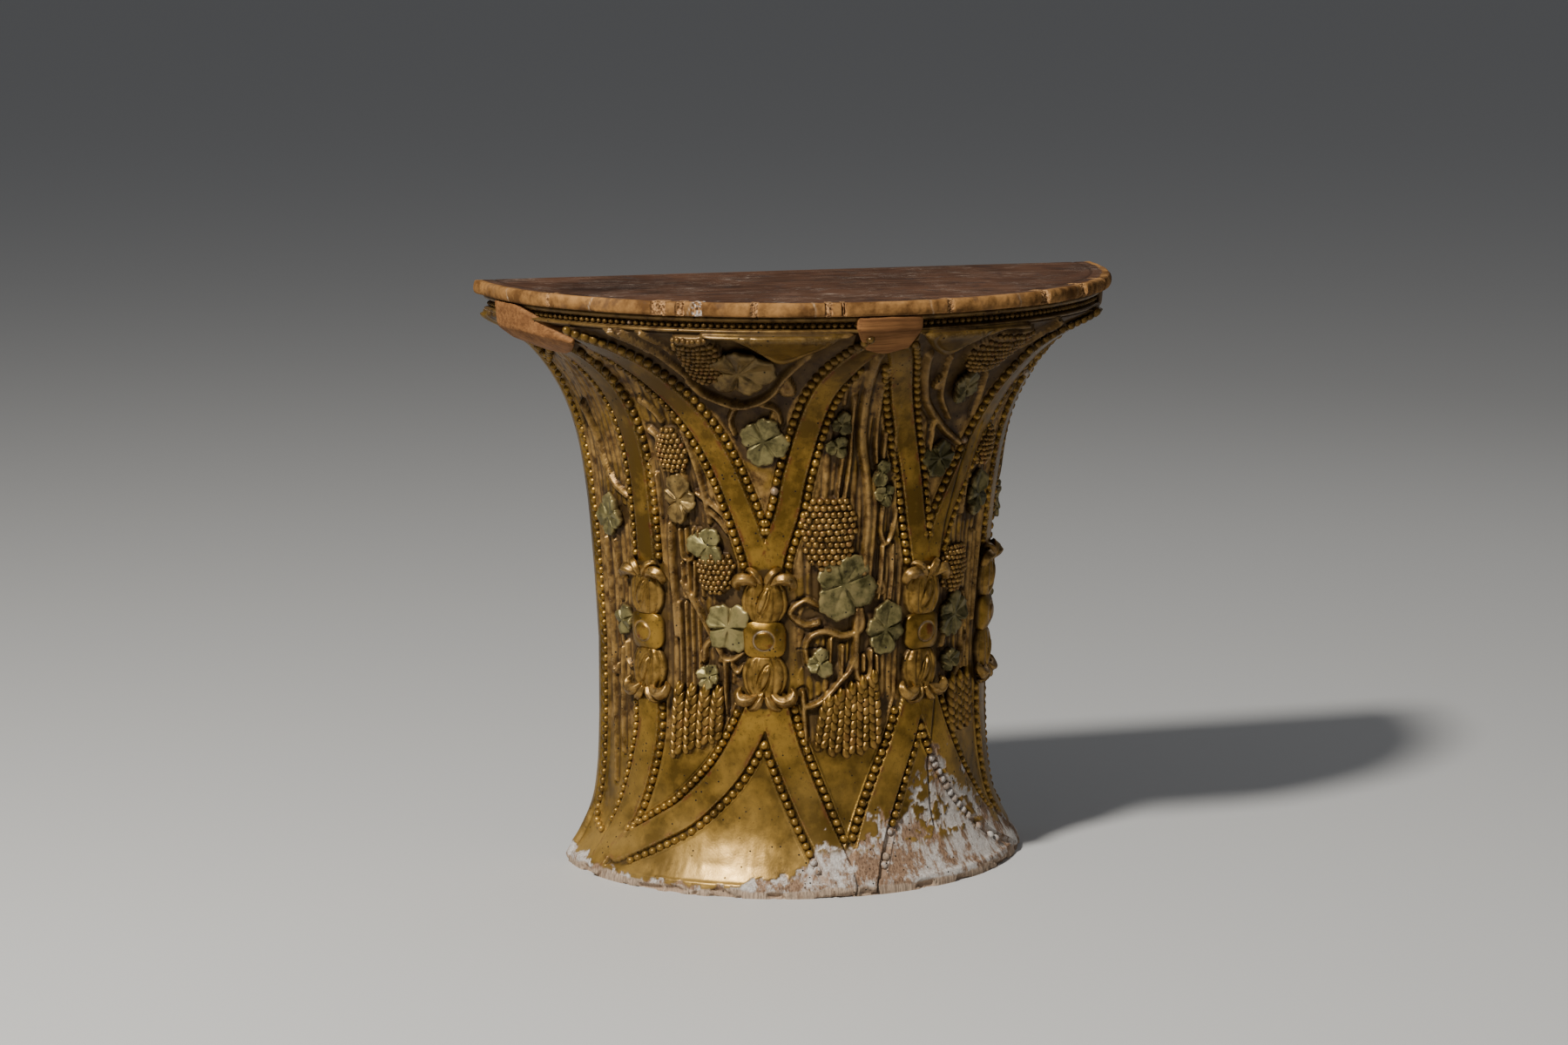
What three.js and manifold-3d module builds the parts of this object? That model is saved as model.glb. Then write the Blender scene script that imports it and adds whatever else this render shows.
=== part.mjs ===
// Half-round wall console bracket in carved, gilt softwood. Millimetres, +Z up, front towards -Y.
// A hollow flared drum, open at the back and foot, carries a half-round board. Ribbons edged with
// beads cross between ring bosses, and vines, grapes and wheat fill the pointed fields between them.
import * as THREE from "three";
import { mergeVertices } from "three/addons/utils/BufferGeometryUtils.js";
import { ConvexGeometry } from "three/addons/geometries/ConvexGeometry.js";
import Module from "manifold-3d";

const wasm = await Module();
wasm.setup();

// Driving dimensions
const HEIGHT = 780;
const BOARD_THICKNESS = 18;
const BOARD_RADIUS = 428.3;
const BOARD_ROUNDING = 6;
const LIP_OVERHANG = 13.3;
const LIP_RADIUS = BOARD_RADIUS - LIP_OVERHANG;
const WAIST_RADIUS = 260;
const FOOT_RADIUS = 310;
const WALL = 42;
const DEPTH_RATIO = 0.949;
const CLEARANCE = 0.3;
const RIBBON_RISE = 4.5;
const UPPER_RIBBON_HALF_WIDTH = 15;
const LOWER_RIBBON_HALF_WIDTH = 19;
// The real beads sit 12 mm apart; they are spaced wider here to keep the solid light.
const BEAD_PITCH = 18;
const BEAD_RISE = 5.5;
const EDGE_STRIP_HALF_WIDTH = 7;
const LEAF_RISE = 6;
const STEM_RISE = 4;
const BERRY_RISE = 9;
const BERRY_STEP = 12;
const GRAIN_RISE = 9;
const GRAIN_STEP = 18;
const EAR_WIDTH = 18;
const BOSS_RISE = 15;
const BOSS_HALF_WIDTH = 28;
const BOSS_HALF_HEIGHT = 24;
const EYE_RING_RADIUS = 14;
const EYE_RING_RISE = 3;
const HUSK_RISE = 15;
const HUSK_LENGTH = 62;
const HUSK_HALF_WIDTH = 37;
const BLOCK_DEPTH = 28;

// Sizes that follow from them
const BODY_TOP = HEIGHT - BOARD_THICKNESS - CLEARANCE;
const HEIGHT_SCALE = (HEIGHT - BOARD_THICKNESS) / (780 - 18);
const WALL_PLANE = (BOARD_RADIUS * DEPTH_RATIO) / 2;
const BURIED = -2;
const FOOT_RISE = 0;
const SKIN = 6;
const SKIN_TOP = 740;
const SKIN_REACH = 96;
const SKIN_SPARE = 10;
const RIM_START = 730;
const RIM_PROUD = 0.8;
const BEND_TOLERANCE = 3.5;
const FLAT_TOLERANCE = 0.8;
const JOINT_TOLERANCE = 0.27;
const SOCKET_TOLERANCE = 0.03;
const PLAN_DEGREE = THREE.MathUtils.degToRad(WAIST_RADIUS);
const STATION_STEP = 60;
const RING_SEGMENTS = 36;
const BOARD_SEGMENTS = 56;
const RING_SIDES = 8;

// Outer profile of the drum: height on the carved drawing and share of the flare reached there,
// first from the waist down to the foot, then from the waist up to the lip.
const FOOT_FLARE = [[0, 1], [12, 0.94], [40, 0.58], [80, 0.22], [130, 0.06], [200, 0]];
const TOP_FLARE = [
  [300, 0], [400, 0.039], [500, 0.097], [580, 0.187], [640, 0.335], [690, 0.561], [715, 0.761],
  [734, 0.987], [742, 1], [762, 1],
];

function interpolate(points, x) {
  if (x <= points[0][0]) return points[0][1];
  for (let i = 1; i < points.length; i++) {
    if (x > points[i][0]) continue;
    const [x0, y0] = points[i - 1];
    const [x1, y1] = points[i];
    const before = points[Math.max(i - 2, 0)];
    const after = points[Math.min(i + 1, points.length - 1)];
    const step = x1 - x0;
    const m0 = ((y1 - before[1]) / (x1 - before[0])) * step;
    const m1 = ((after[1] - y0) / (after[0] - x0)) * step;
    const t = (x - x0) / step;
    const t2 = t * t;
    const t3 = t2 * t;
    return y0 * (2 * t3 - 3 * t2 + 1) + m0 * (t3 - 2 * t2 + t) + y1 * (3 * t2 - 2 * t3) + m1 * (t3 - t2);
  }
  return points[points.length - 1][1];
}

function bodyRadius(z) {
  const foot = interpolate(FOOT_FLARE, z) * (FOOT_RADIUS - WAIST_RADIUS);
  const top = interpolate(TOP_FLARE, z) * (LIP_RADIUS - WAIST_RADIUS);
  return WAIST_RADIUS + foot + top;
}

function slope(z) {
  return (bodyRadius(z + 1) - bodyRadius(z - 1)) / 2;
}

// The carving is drawn and joined on a flat plan, and then bent round the drum. A plan point holds
// degrees round from the front, height on the carved drawing, and height above the drum's surface.
function onPlan(degrees, z, rise) {
  return new THREE.Vector3(degrees * PLAN_DEGREE, z, rise);
}

// The same point bent round the drum.
function onDrum(degrees, z, rise) {
  const angle = THREE.MathUtils.degToRad(degrees);
  const tilt = slope(z);
  const length = Math.hypot(1, tilt);
  const radius = bodyRadius(z) + rise / length;
  const x = radius * Math.sin(angle);
  const y = WALL_PLANE - DEPTH_RATIO * radius * Math.cos(angle);
  return new THREE.Vector3(x, y, (z - (rise * tilt) / length) * HEIGHT_SCALE);
}

// Moves a place on the drawing by millimetres across and up along the surface.
function shifted([degrees, z], across, up) {
  const perDegree = THREE.MathUtils.degToRad(bodyRadius(z));
  return [degrees + across / perDegree, z + up / Math.hypot(1, slope(z))];
}

function makeGeometry(points, faces) {
  const geometry = new THREE.BufferGeometry();
  geometry.setAttribute("position", new THREE.Float32BufferAttribute(points, 3));
  geometry.setIndex(faces);
  return geometry;
}

// A closed mesh as a solid, turned so that its faces look out.
function toSolid(source) {
  const bare = source.clone();
  bare.deleteAttribute("normal");
  bare.deleteAttribute("uv");
  const geometry = mergeVertices(bare, 1e-4);
  const position = geometry.attributes.position;
  const index = Array.from(geometry.index.array);
  const faces = [];
  for (let i = 0; i < index.length; i += 3) {
    const [a, b, c] = index.slice(i, i + 3);
    if (a !== b && b !== c && a !== c) faces.push(a, b, c);
  }
  const corner = [new THREE.Vector3(), new THREE.Vector3(), new THREE.Vector3()];
  let volume = 0;
  for (let i = 0; i < faces.length; i += 3) {
    corner.forEach((v, k) => v.fromBufferAttribute(position, faces[i + k]));
    volume += corner[0].dot(corner[1].clone().cross(corner[2]));
  }
  if (volume < 0) faces.reverse();
  return new wasm.Manifold(
    new wasm.Mesh({
      numProp: 3,
      vertProperties: new Float32Array(position.array),
      triVerts: new Uint32Array(faces),
    }),
  );
}

function toMesh(solid, name, color, roughness, metalness) {
  const { vertProperties, triVerts } = solid.getMesh();
  const geometry = makeGeometry(vertProperties, Array.from(triVerts));
  geometry.computeVertexNormals();
  const mesh = new THREE.Mesh(geometry, new THREE.MeshStandardMaterial({ color, roughness, metalness }));
  mesh.name = name;
  return mesh;
}

function joined(solids) {
  return wasm.Manifold.union(solids);
}

// Triangles between two rails, which may have different numbers of points.
function stitch(faces, a, b) {
  let i = 0;
  let j = 0;
  while (i < a.length - 1 || j < b.length - 1) {
    const alongA = j === b.length - 1 || (i < a.length - 1 && a[i + 1].s <= b[j + 1].s);
    if (alongA) {
      faces.push(a[i].id, a[i + 1].id, b[j].id);
      i += 1;
    } else {
      faces.push(a[i].id, b[j + 1].id, b[j].id);
      j += 1;
    }
  }
}

// A closed solid from rails that run side by side round its section. Each rail is a list of
// { s, point }, and the section gives each rail's place across and its height at the ends.
function loftRails(rails, section) {
  const points = [];
  const faces = [];
  for (const rail of rails) {
    for (const entry of rail) {
      entry.id = points.length / 3;
      points.push(entry.point.x, entry.point.y, entry.point.z);
    }
  }
  rails.forEach((rail, k) => stitch(faces, rail, rails[(k + 1) % rails.length]));
  const contour = section.map(([across, rise]) => new THREE.Vector2(across, rise));
  const turn = Math.sign(THREE.ShapeUtils.area(contour));
  for (const [a, b, c] of THREE.ShapeUtils.triangulateShape(contour, [])) {
    const same = THREE.ShapeUtils.area([contour[a], contour[b], contour[c]]) * turn > 0;
    const [p, q, r] = same ? [a, b, c] : [a, c, b];
    faces.push(rails[p][0].id, rails[q][0].id, rails[r][0].id);
    faces.push(rails[p].at(-1).id, rails[r].at(-1).id, rails[q].at(-1).id);
  }
  return toSolid(makeGeometry(points, faces));
}

// A smooth line on the drawing with its length in millimetres along the surface.
function drawnLine(controls) {
  const curve = new THREE.CatmullRomCurve3(controls.map(([d, z]) => onPlan(d, z, 0)));
  const samples = curve.getPoints(60).map((p) => [p.x / PLAN_DEGREE, p.y]);
  const lengths = [0];
  for (let i = 1; i < samples.length; i++) {
    const [d0, z0] = samples[i - 1];
    const [d1, z1] = samples[i];
    const across = (d1 - d0) * THREE.MathUtils.degToRad(bodyRadius((z0 + z1) / 2));
    const up = (z1 - z0) * Math.hypot(1, slope((z0 + z1) / 2));
    lengths.push(lengths[i - 1] + Math.hypot(across, up));
  }
  return { samples, lengths, length: lengths.at(-1) };
}

// The place at a distance along a drawn line, set off sideways by some millimetres.
function alongLine(line, distance, offset) {
  const s = THREE.MathUtils.clamp(distance, 0, line.length);
  let i = 1;
  while (i < line.lengths.length - 1 && line.lengths[i] < s) i += 1;
  const share = (s - line.lengths[i - 1]) / (line.lengths[i] - line.lengths[i - 1]);
  const [d0, z0] = line.samples[i - 1];
  const [d1, z1] = line.samples[i];
  const place = [d0 + (d1 - d0) * share, z0 + (z1 - z0) * share];
  const across = (d1 - d0) * THREE.MathUtils.degToRad(bodyRadius(place[1]));
  const up = (z1 - z0) * Math.hypot(1, slope(place[1]));
  const step = Math.hypot(across, up);
  return shifted(place, (up / step) * offset, (-across / step) * offset);
}

function railAlong(line, count, offsetAt, riseAt) {
  const rail = [];
  for (let k = 0; k <= count; k++) {
    const s = (line.length * k) / count;
    const place = alongLine(line, s, offsetAt(s, k));
    rail.push({ s, point: onPlan(...place, riseAt(s, k, place[1])) });
  }
  return rail;
}

// A flat band with a string of beads along each edge. Each string runs only between the heights
// given, so that it stops where two bands meet, and a side without heights has no beads.
function ribbon({ path, halfWidth, left, right }) {
  const line = drawnLine(path);
  const stations = Math.max(2, Math.round(line.length / STATION_STEP));
  const half = Math.max(2, Math.round(line.length / BEAD_PITCH)) * 2;
  const foot = halfWidth + 2 * BEAD_RISE + 1;
  const rails = [];
  const section = [];
  const flat = (across, rise) => {
    rails.push(railAlong(line, stations, () => across, () => rise));
    section.push([across, rise]);
  };
  const beads = (side, [low, high]) => {
    const rise = (s, k, z) => (z < low || z > high ? BURIED / 2 : bead(k));
    rails.push(railAlong(line, half, () => side * (halfWidth + BEAD_RISE + 0.5), rise));
    section.push([side * (halfWidth + BEAD_RISE + 0.5), FOOT_RISE / 2]);
  };
  if (left) {
    flat(-foot - 1, BURIED);
    flat(-foot, FOOT_RISE);
    beads(-1, left);
    flat(-halfWidth - 0.4, FOOT_RISE);
  } else {
    flat(-halfWidth - 0.4, BURIED);
  }
  flat(-halfWidth, RIBBON_RISE);
  flat(halfWidth, RIBBON_RISE);
  if (right) {
    flat(halfWidth + 0.4, FOOT_RISE);
    beads(1, right);
    flat(foot, FOOT_RISE);
    flat(foot + 1, BURIED);
  } else {
    flat(halfWidth + 0.4, BURIED);
  }
  return loftRails(rails, section);
}

function bead(k) {
  return k % 2 ? BEAD_RISE : BEAD_RISE * 0.25;
}

// A ridge that goes up and down along its length, on two low feet.
function toothedRidge(line, teeth, halfWidth, rise) {
  const sparse = Math.max(1, Math.round(line.length / STATION_STEP));
  const side = (sign, grow, height) => {
    const across = (s) => sign * (halfWidth(s) + grow);
    return railAlong(line, sparse, across, () => height);
  };
  const ridge = railAlong(line, teeth * 2, () => 0, rise);
  const rails = [
    side(-1, 1, BURIED), side(-1, 0, FOOT_RISE), ridge, side(1, 0, FOOT_RISE), side(1, 1, BURIED),
  ];
  const section = [[-4, BURIED], [-3, FOOT_RISE], [0, FOOT_RISE], [3, FOOT_RISE], [4, BURIED]];
  return loftRails(rails, section);
}

// One string of beads by itself.
function beadString(path) {
  const line = drawnLine(path);
  const beads = Math.max(1, Math.round(line.length / BEAD_PITCH));
  return toothedRidge(line, beads, () => BEAD_RISE + 0.5, (s, k) => bead(k));
}

// A round-backed stem, reed or tendril that thins towards its end.
function stem(path, width, rise = STEM_RISE, taper = 0.6) {
  const line = drawnLine(path);
  const steps = Math.max(2, Math.round(line.length / 34));
  const half = (s) => (width / 2) * (1 - (1 - taper) * (s / line.length)) + 1;
  const left = railAlong(line, steps, (s) => -half(s), () => BURIED);
  const ridge = railAlong(line, steps, () => 0, () => rise);
  const right = railAlong(line, steps, (s) => half(s), () => BURIED);
  return loftRails([left, ridge, right], [[-1, BURIED], [0, rise], [1, BURIED]]);
}

// An ear of wheat: a ridge of grains, high and low by turns.
function wheatEar(bottom, top, width) {
  const line = drawnLine([bottom, top]);
  const grains = Math.max(3, Math.round(line.length / GRAIN_STEP));
  const half = (s) => {
    const swell = Math.sin((Math.PI * (s / line.length + 0.12)) / 1.2);
    return (width / 2) * Math.sqrt(Math.max(0.15, swell));
  };
  return toothedRidge(line, grains, half, (s, k) => (k % 2 ? GRAIN_RISE : GRAIN_RISE * 0.45));
}

// A raised island on the drum, from rings of places that run inwards, each with its own rise.
function island(rings, middle) {
  const points = [];
  const faces = [];
  const count = rings[0].length;
  for (const ring of rings) {
    for (const [place, rise] of ring) points.push(...onPlan(...place, rise).toArray());
  }
  const crown = points.length / 3;
  points.push(...onPlan(...middle[0], middle[1]).toArray());
  const under = crown + 1;
  points.push(...onPlan(...middle[0], 2 * BURIED).toArray());
  for (let k = 0; k < count; k++) {
    const next = (k + 1) % count;
    faces.push(under, next, k);
    for (let ring = 1; ring < rings.length; ring++) {
      const outer = (ring - 1) * count;
      const inner = ring * count;
      faces.push(outer + k, outer + next, inner + k, outer + next, inner + next, inner + k);
    }
    const last = (rings.length - 1) * count;
    faces.push(last + k, last + next, crown);
  }
  return toSolid(makeGeometry(points, faces));
}

// A vine leaf: pointed or round lobes round a hollow middle, with cut-back notches between them.
function leaf(centre, width, height, lobes = 5, turn = 0) {
  const rim = (rise, grow) => {
    const ring = [];
    for (let k = 0; k < lobes * 2; k++) {
      const angle = turn + (Math.PI * 2 * k) / (lobes * 2);
      const reach = (k % 2 ? 0.6 : 1) + grow;
      const across = (width / 2) * reach * Math.sin(angle);
      const up = (height / 2) * reach * Math.cos(angle);
      ring.push([shifted(centre, across, up), k % 2 ? rise * 0.8 : rise]);
    }
    return ring;
  };
  return island([rim(BURIED, 0.04), rim(LEAF_RISE, 0)], [centre, LEAF_RISE * 0.55]);
}

// A bunch of grapes: staggered rows of berries on a swelling that narrows towards one end.
function grapes([degreesLow, degreesHigh], [zLow, zHigh], narrowBottom) {
  const centreDegrees = (degreesLow + degreesHigh) / 2;
  const height = zHigh - zLow;
  const width = (degreesHigh - degreesLow) * THREE.MathUtils.degToRad(bodyRadius((zLow + zHigh) / 2));
  const rows = Math.max(4, Math.round(height / BERRY_STEP));
  const columns = 5;
  const points = [];
  const faces = [];
  for (let row = 0; row <= rows; row++) {
    const share = row / rows;
    const fromTip = narrowBottom ? share : 1 - share;
    const fullness = Math.sin(Math.PI * Math.min(0.96, fromTip * 0.75 + 0.06));
    const half = (width / 2) * Math.sqrt(Math.max(0.05, fullness));
    for (let column = 0; column <= columns; column++) {
      const rim = row === 0 || row === rows || column === 0 || column === columns;
      const across = (column / columns) * 2 - 1;
      const swell = BERRY_RISE * (1 - 0.5 * across * across);
      const rise = rim ? BURIED : swell * ((row + column) % 2 ? 1 : 0.45);
      const place = shifted([centreDegrees, zLow + share * height], across * half, 0);
      points.push(...onPlan(...place, rise).toArray());
    }
  }
  const at = (row, column) => row * (columns + 1) + column;
  for (let row = 0; row < rows; row++) {
    for (let column = 0; column < columns; column++) {
      const a = at(row, column);
      const b = at(row, column + 1);
      const c = at(row + 1, column + 1);
      const d = at(row + 1, column);
      if ((row + column) % 2) faces.push(a, b, c, a, c, d);
      else faces.push(a, b, d, b, c, d);
    }
  }
  const border = [];
  for (let column = 0; column < columns; column++) border.push(at(0, column));
  for (let row = 0; row < rows; row++) border.push(at(row, columns));
  for (let column = columns; column > 0; column--) border.push(at(rows, column));
  for (let row = rows; row > 0; row--) border.push(at(row, 0));
  const under = points.length / 3;
  points.push(...onPlan(centreDegrees, zLow + height / 2, 3 * BURIED).toArray());
  border.forEach((id, k) => faces.push(under, border[(k + 1) % border.length], id));
  return toSolid(makeGeometry(points, faces));
}

// A tulip husk that opens away from the boss and curls over into two tips at its mouth. The half
// outline runs from the boss to the mouth as shares of the bloom's length and half width.
const HUSK_OUTLINE = [
  [0, 0.5], [0.45, 0.84], [0.86, 0.72], [0.82, 1.05], [1.08, 1], [1.1, 0.45], [0.94, 0.2],
];

function husk([degrees, bossEdge], direction) {
  const along = (share, half, side, shrink) => {
    const across = side * half * HUSK_HALF_WIDTH * (1 - shrink);
    const drawnIn = 0.5 + (share - 0.5) * (1 - shrink * 0.6);
    return shifted([degrees, bossEdge], across, direction * HUSK_LENGTH * drawnIn);
  };
  const ring = (shrink, rise) => [
    ...HUSK_OUTLINE.map(([share, half]) => [along(share, half, 1, shrink), rise]),
    ...HUSK_OUTLINE.toReversed().map(([share, half]) => [along(share, half, -1, shrink), rise]),
  ];
  const middle = along(0.5, 0, 1, 0);
  return island([ring(0, BURIED), ring(0.12, HUSK_RISE * 0.7)], [middle, HUSK_RISE]);
}

// A boss: a swelling block with a raised ring round its eye.
function boss([degrees, z]) {
  const corners = [
    [-1, -0.7], [-0.75, -1], [0.75, -1], [1, -0.7], [1, 0.7], [0.75, 1], [-0.75, 1], [-1, 0.7],
  ];
  const ring = (share, rise) =>
    corners.map(([a, b]) => {
      const place = shifted([degrees, z], a * BOSS_HALF_WIDTH * share, b * BOSS_HALF_HEIGHT * share);
      return [place, rise];
    });
  const block = island([ring(1, BURIED), ring(0.9, BOSS_RISE)], [[degrees, z], BOSS_RISE]);
  const circle = (radius, rise) => {
    const places = [];
    for (let k = 0; k < RING_SIDES; k++) {
      const angle = (Math.PI * 2 * k) / RING_SIDES;
      places.push([shifted([degrees, z], radius * Math.sin(angle), radius * Math.cos(angle)), rise]);
    }
    return places;
  };
  const crest = BOSS_RISE + EYE_RING_RISE;
  const rings = [
    circle(EYE_RING_RADIUS, BURIED), circle(EYE_RING_RADIUS - 1, crest), circle(EYE_RING_RADIUS - 6, crest),
  ];
  return [block, island(rings, [[degrees, z], BOSS_RISE])];
}

// The drawing's left half and its mirror image use the same kinds of carving at hand-set places.
const UPPER = UPPER_RIBBON_HALF_WIDTH;
const LOWER = LOWER_RIBBON_HALF_WIDTH;

// Ribbons: half width, places, and the heights between which beads run on the left and on the right.
const ribbons = [
  [
    UPPER, [[-59.3, 414], [-59.5, 500], [-60.3, 590], [-62.6, 655], [-66.5, 692], [-71, 712]],
    [425, 690], [425, 705],
  ],
  [
    UPPER, [[-23.6, 414], [-28.9, 500], [-33, 553], [-37.5, 600], [-44, 650], [-53, 700], [-64, 740]],
    [425, 705], [472, 738],
  ],
  [
    UPPER, [[-21.3, 414], [-18.6, 470], [-14.5, 550], [-9, 650], [-3.3, 700], [2, 738]],
    [472, 738], [425, 692],
  ],
  [
    UPPER, [[23.4, 414], [20.4, 475], [16.8, 550], [10.3, 650], [6.9, 700], [2, 738]],
    [425, 692], [458, 725],
  ],
  [
    UPPER, [[25.6, 414], [30.5, 485], [37, 550], [46.5, 650], [53, 700], [64, 740]],
    [458, 738], [425, 705],
  ],
  [
    UPPER, [[59.3, 414], [59.5, 500], [60.3, 590], [62.6, 655], [66.5, 692], [71, 712]],
    [425, 705], [425, 690],
  ],
  [
    LOWER, [[-60.5, 250], [-60.8, 200], [-63.2, 150], [-66.5, 100], [-70.3, 50], [-72, 18]],
    [56, 240], [62, 240],
  ],
  [
    LOWER, [[-23.8, 250], [-28.5, 200], [-35, 150], [-45.2, 100], [-53, 75], [-66, 38]],
    [25, 196], [62, 240],
  ],
  [
    LOWER, [[-20.8, 250], [-18, 200], [-14, 150], [-9.6, 100], [-5.2, 50], [-2.5, 18]],
    [62, 240], [25, 196],
  ],
  [
    LOWER, [[22.5, 250], [18.8, 200], [14.2, 150], [9.5, 100], [4.9, 50], [2.5, 18]],
    [25, 208], [62, 240],
  ],
  [
    LOWER, [[26, 250], [30.7, 200], [36.7, 150], [44.7, 100], [54, 55], [65, 25]],
    [62, 240], [25, 208],
  ],
  [
    LOWER, [[60.5, 250], [60.8, 200], [63.2, 150], [66.5, 100], [70.3, 50], [72, 18]],
    [62, 240], [56, 240],
  ],
].map(([halfWidth, path, left, right]) => ({ halfWidth, path, left, right }));

// The plain strip at the wall and the beads that arch between it and the nearest ribbon.
function wallEdge(side) {
  const at = (degrees, z) => [side * degrees, z];
  const strip = { path: [at(88.4, 4), at(88.4, 738)], halfWidth: EDGE_STRIP_HALF_WIDTH };
  strip[side < 0 ? "right" : "left"] = [70, 660];
  return [
    ribbon(strip),
    beadString([at(84.6, 655), at(82, 682), at(76, 700)]),
    beadString([at(84.4, 72), at(81, 58), at(76.5, 52)]),
  ];
}

const bossPlaces = [[-60, 332], [-23, 332], [24, 332], [60, 332]];

const leaves = [
  [[-26.7, 688], 92, 76, 6, 0.2], [[-22.5, 594], 60, 68, 4, 0.4], [[-3.6, 616], 24, 32, 3, 0],
  [[-4.2, 586], 28, 30, 3, 0.5], [[8, 548], 26, 36, 3, 0.2], [[9.6, 518], 28, 34, 3, 0.9],
  [[-1.2, 402], 82, 84, 5, 0.3], [[11.5, 340], 58, 68, 5, 0.1], [[-7.6, 299], 34, 42, 4, 0.3],
  [[-46.4, 510], 50, 68, 4, 0.1], [[-38.6, 452], 54, 46, 4, 0.5], [[-33, 346], 56, 70, 5, 0.2],
  [[-39.3, 279], 32, 38, 4, 0.4], [[-74, 475], 60, 62, 5, 0], [[-70.5, 338], 44, 46, 4, 0.3],
  [[28, 655], 40, 62, 4, 0.3], [[25.6, 560], 52, 52, 5, 0.1], [[45, 500], 48, 66, 4, 0.2],
  [[37, 346], 62, 66, 5, 0.2], [[36, 285], 42, 36, 4, 0.1], [[70.5, 338], 44, 46, 4, 0.1],
  [[74, 475], 60, 62, 5, 0.3],
];

const bunches = [
  [[-38.5, -29], [672, 736], true], [[-52, -43], [546, 606], false],
  [[-42, -31.5], [388, 440], true], [[-13, 2], [420, 516], true],
  [[23, 37], [678, 728], true], [[42, 50], [540, 592], false],
  [[31, 42], [376, 436], true],
];

const wheat = [
  ...[-50, -45.7, -41.6, -37.6].map((d, k) => [[d, 172 + 8 * k], [d + 1, 258]]),
  ...[-7.6, -3.5, 0.8, 4.8, 8.8].map((d, k) => {
    const sag = 8 * Math.sin((Math.PI * k) / 4);
    return [[d, 184 - sag], [d * 0.8 + 1, 250 + 6 * k]];
  }),
  ...[38.5, 42.5, 46.5].map((d) => [[d, 190], [d - 1, 258]]),
];

// Stems, reeds and tendrils: width and places.
const stems = [
  [14, [[1.5, 706], [2, 600], [4.2, 545], [5.4, 490], [4.6, 415]]],
  [9, [[-1, 640], [-0.6, 560], [-1.5, 515]]],
  [9, [[11.5, 500], [12.5, 468], [8.5, 452], [8, 380]]],
  [9, [[4.2, 366], [4.5, 340], [-1, 333], [-9, 338], [-11.5, 322], [-11, 300]]],
  [10, [[3, 366], [2.5, 300], [-2, 272], [-8, 246], [-12, 244]]],
  [9, [[-7.5, 352], [-12, 350], [-16, 366], [-12, 382], [-8, 374]]],
  [16, [[-47.2, 480], [-47.4, 400], [-47.2, 256]]],
  [10, [[-43.2, 400], [-43.2, 258]]],
  [10, [[-46, 402], [-40, 345], [-34, 302], [-29, 313]]],
  [10, [[-42.5, 600], [-39.5, 545], [-38, 482]]],
  [11, [[-38.8, 668], [-34, 648], [-28.5, 638], [-22, 650], [-17, 676], [-11, 712]]],
  [10, [[-46, 736], [-42.5, 700], [-40, 682]]],
  [12, [[13, 705], [16, 660], [19, 632], [26, 598], [33, 576]]],
  [11, [[-78, 622], [-75, 548], [-70.5, 520], [-65, 506]]],
  [10, [[-79, 432], [-77.5, 380], [-78, 300], [-76, 180]]],
  [11, [[78, 622], [75, 548], [70.5, 520], [65, 506]]],
  [10, [[79, 432], [77.5, 380], [78, 300], [76, 180]]],
  [10, [[29.5, 252], [35, 250], [42, 275], [46, 312]]],
  [14, [[46, 480], [47, 400], [46.5, 256]]],
];

// Smooth lappets that hang from the moulding over the two open panels.
const lappets = [
  [[[-30, 739], [-24, 727], [-18, 697], [-11.5, 716], [-6, 737], [-18, 741]], [-18, 728]],
  [[[6.5, 737], [12, 716], [17, 704], [21, 731], [29, 738], [17, 741]], [16.5, 726]],
];

function lappet([places, middle]) {
  const inner = places.map(([d, z]) => [d + (middle[0] - d) * 0.35, z + (middle[1] - z) * 0.35]);
  const low = places.map((place) => [place, BURIED]);
  return island([low, places.map((place) => [place, 3]), inner.map((place) => [place, 9])], [middle, 10]);
}

// Bends a flat carving round the drum, after splitting the edges that would cut the corner.
function bent(flat) {
  const { vertProperties, triVerts } = flat.getMesh();
  const plan = [];
  for (let i = 0; i < vertProperties.length; i += 3) {
    plan.push(new THREE.Vector3().fromArray(vertProperties, i));
  }
  const around = (p) => onDrum(p.x / PLAN_DEGREE, p.y, p.z);
  let triangles = [];
  for (let i = 0; i < triVerts.length; i += 3) triangles.push(Array.from(triVerts.slice(i, i + 3)));
  const middles = new Map();
  const middleOf = (a, b) => {
    const key = a < b ? `${a},${b}` : `${b},${a}`;
    if (!middles.has(key)) {
      const middle = plan[a].clone().add(plan[b]).multiplyScalar(0.5);
      const chord = around(plan[a]).add(around(plan[b])).multiplyScalar(0.5);
      const split = chord.distanceTo(around(middle)) > BEND_TOLERANCE;
      middles.set(key, split ? plan.push(middle) - 1 : null);
    }
    return middles.get(key);
  };
  for (let pass = 0, before = 0; before !== triangles.length && pass < 8; pass++) {
    before = triangles.length;
    triangles = triangles.flatMap(([a, b, c]) => splitTriangle(a, b, c, middleOf, plan));
  }
  const points = plan.flatMap((p) => around(p).toArray());
  return toSolid(makeGeometry(points, triangles.flat()));
}

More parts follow.
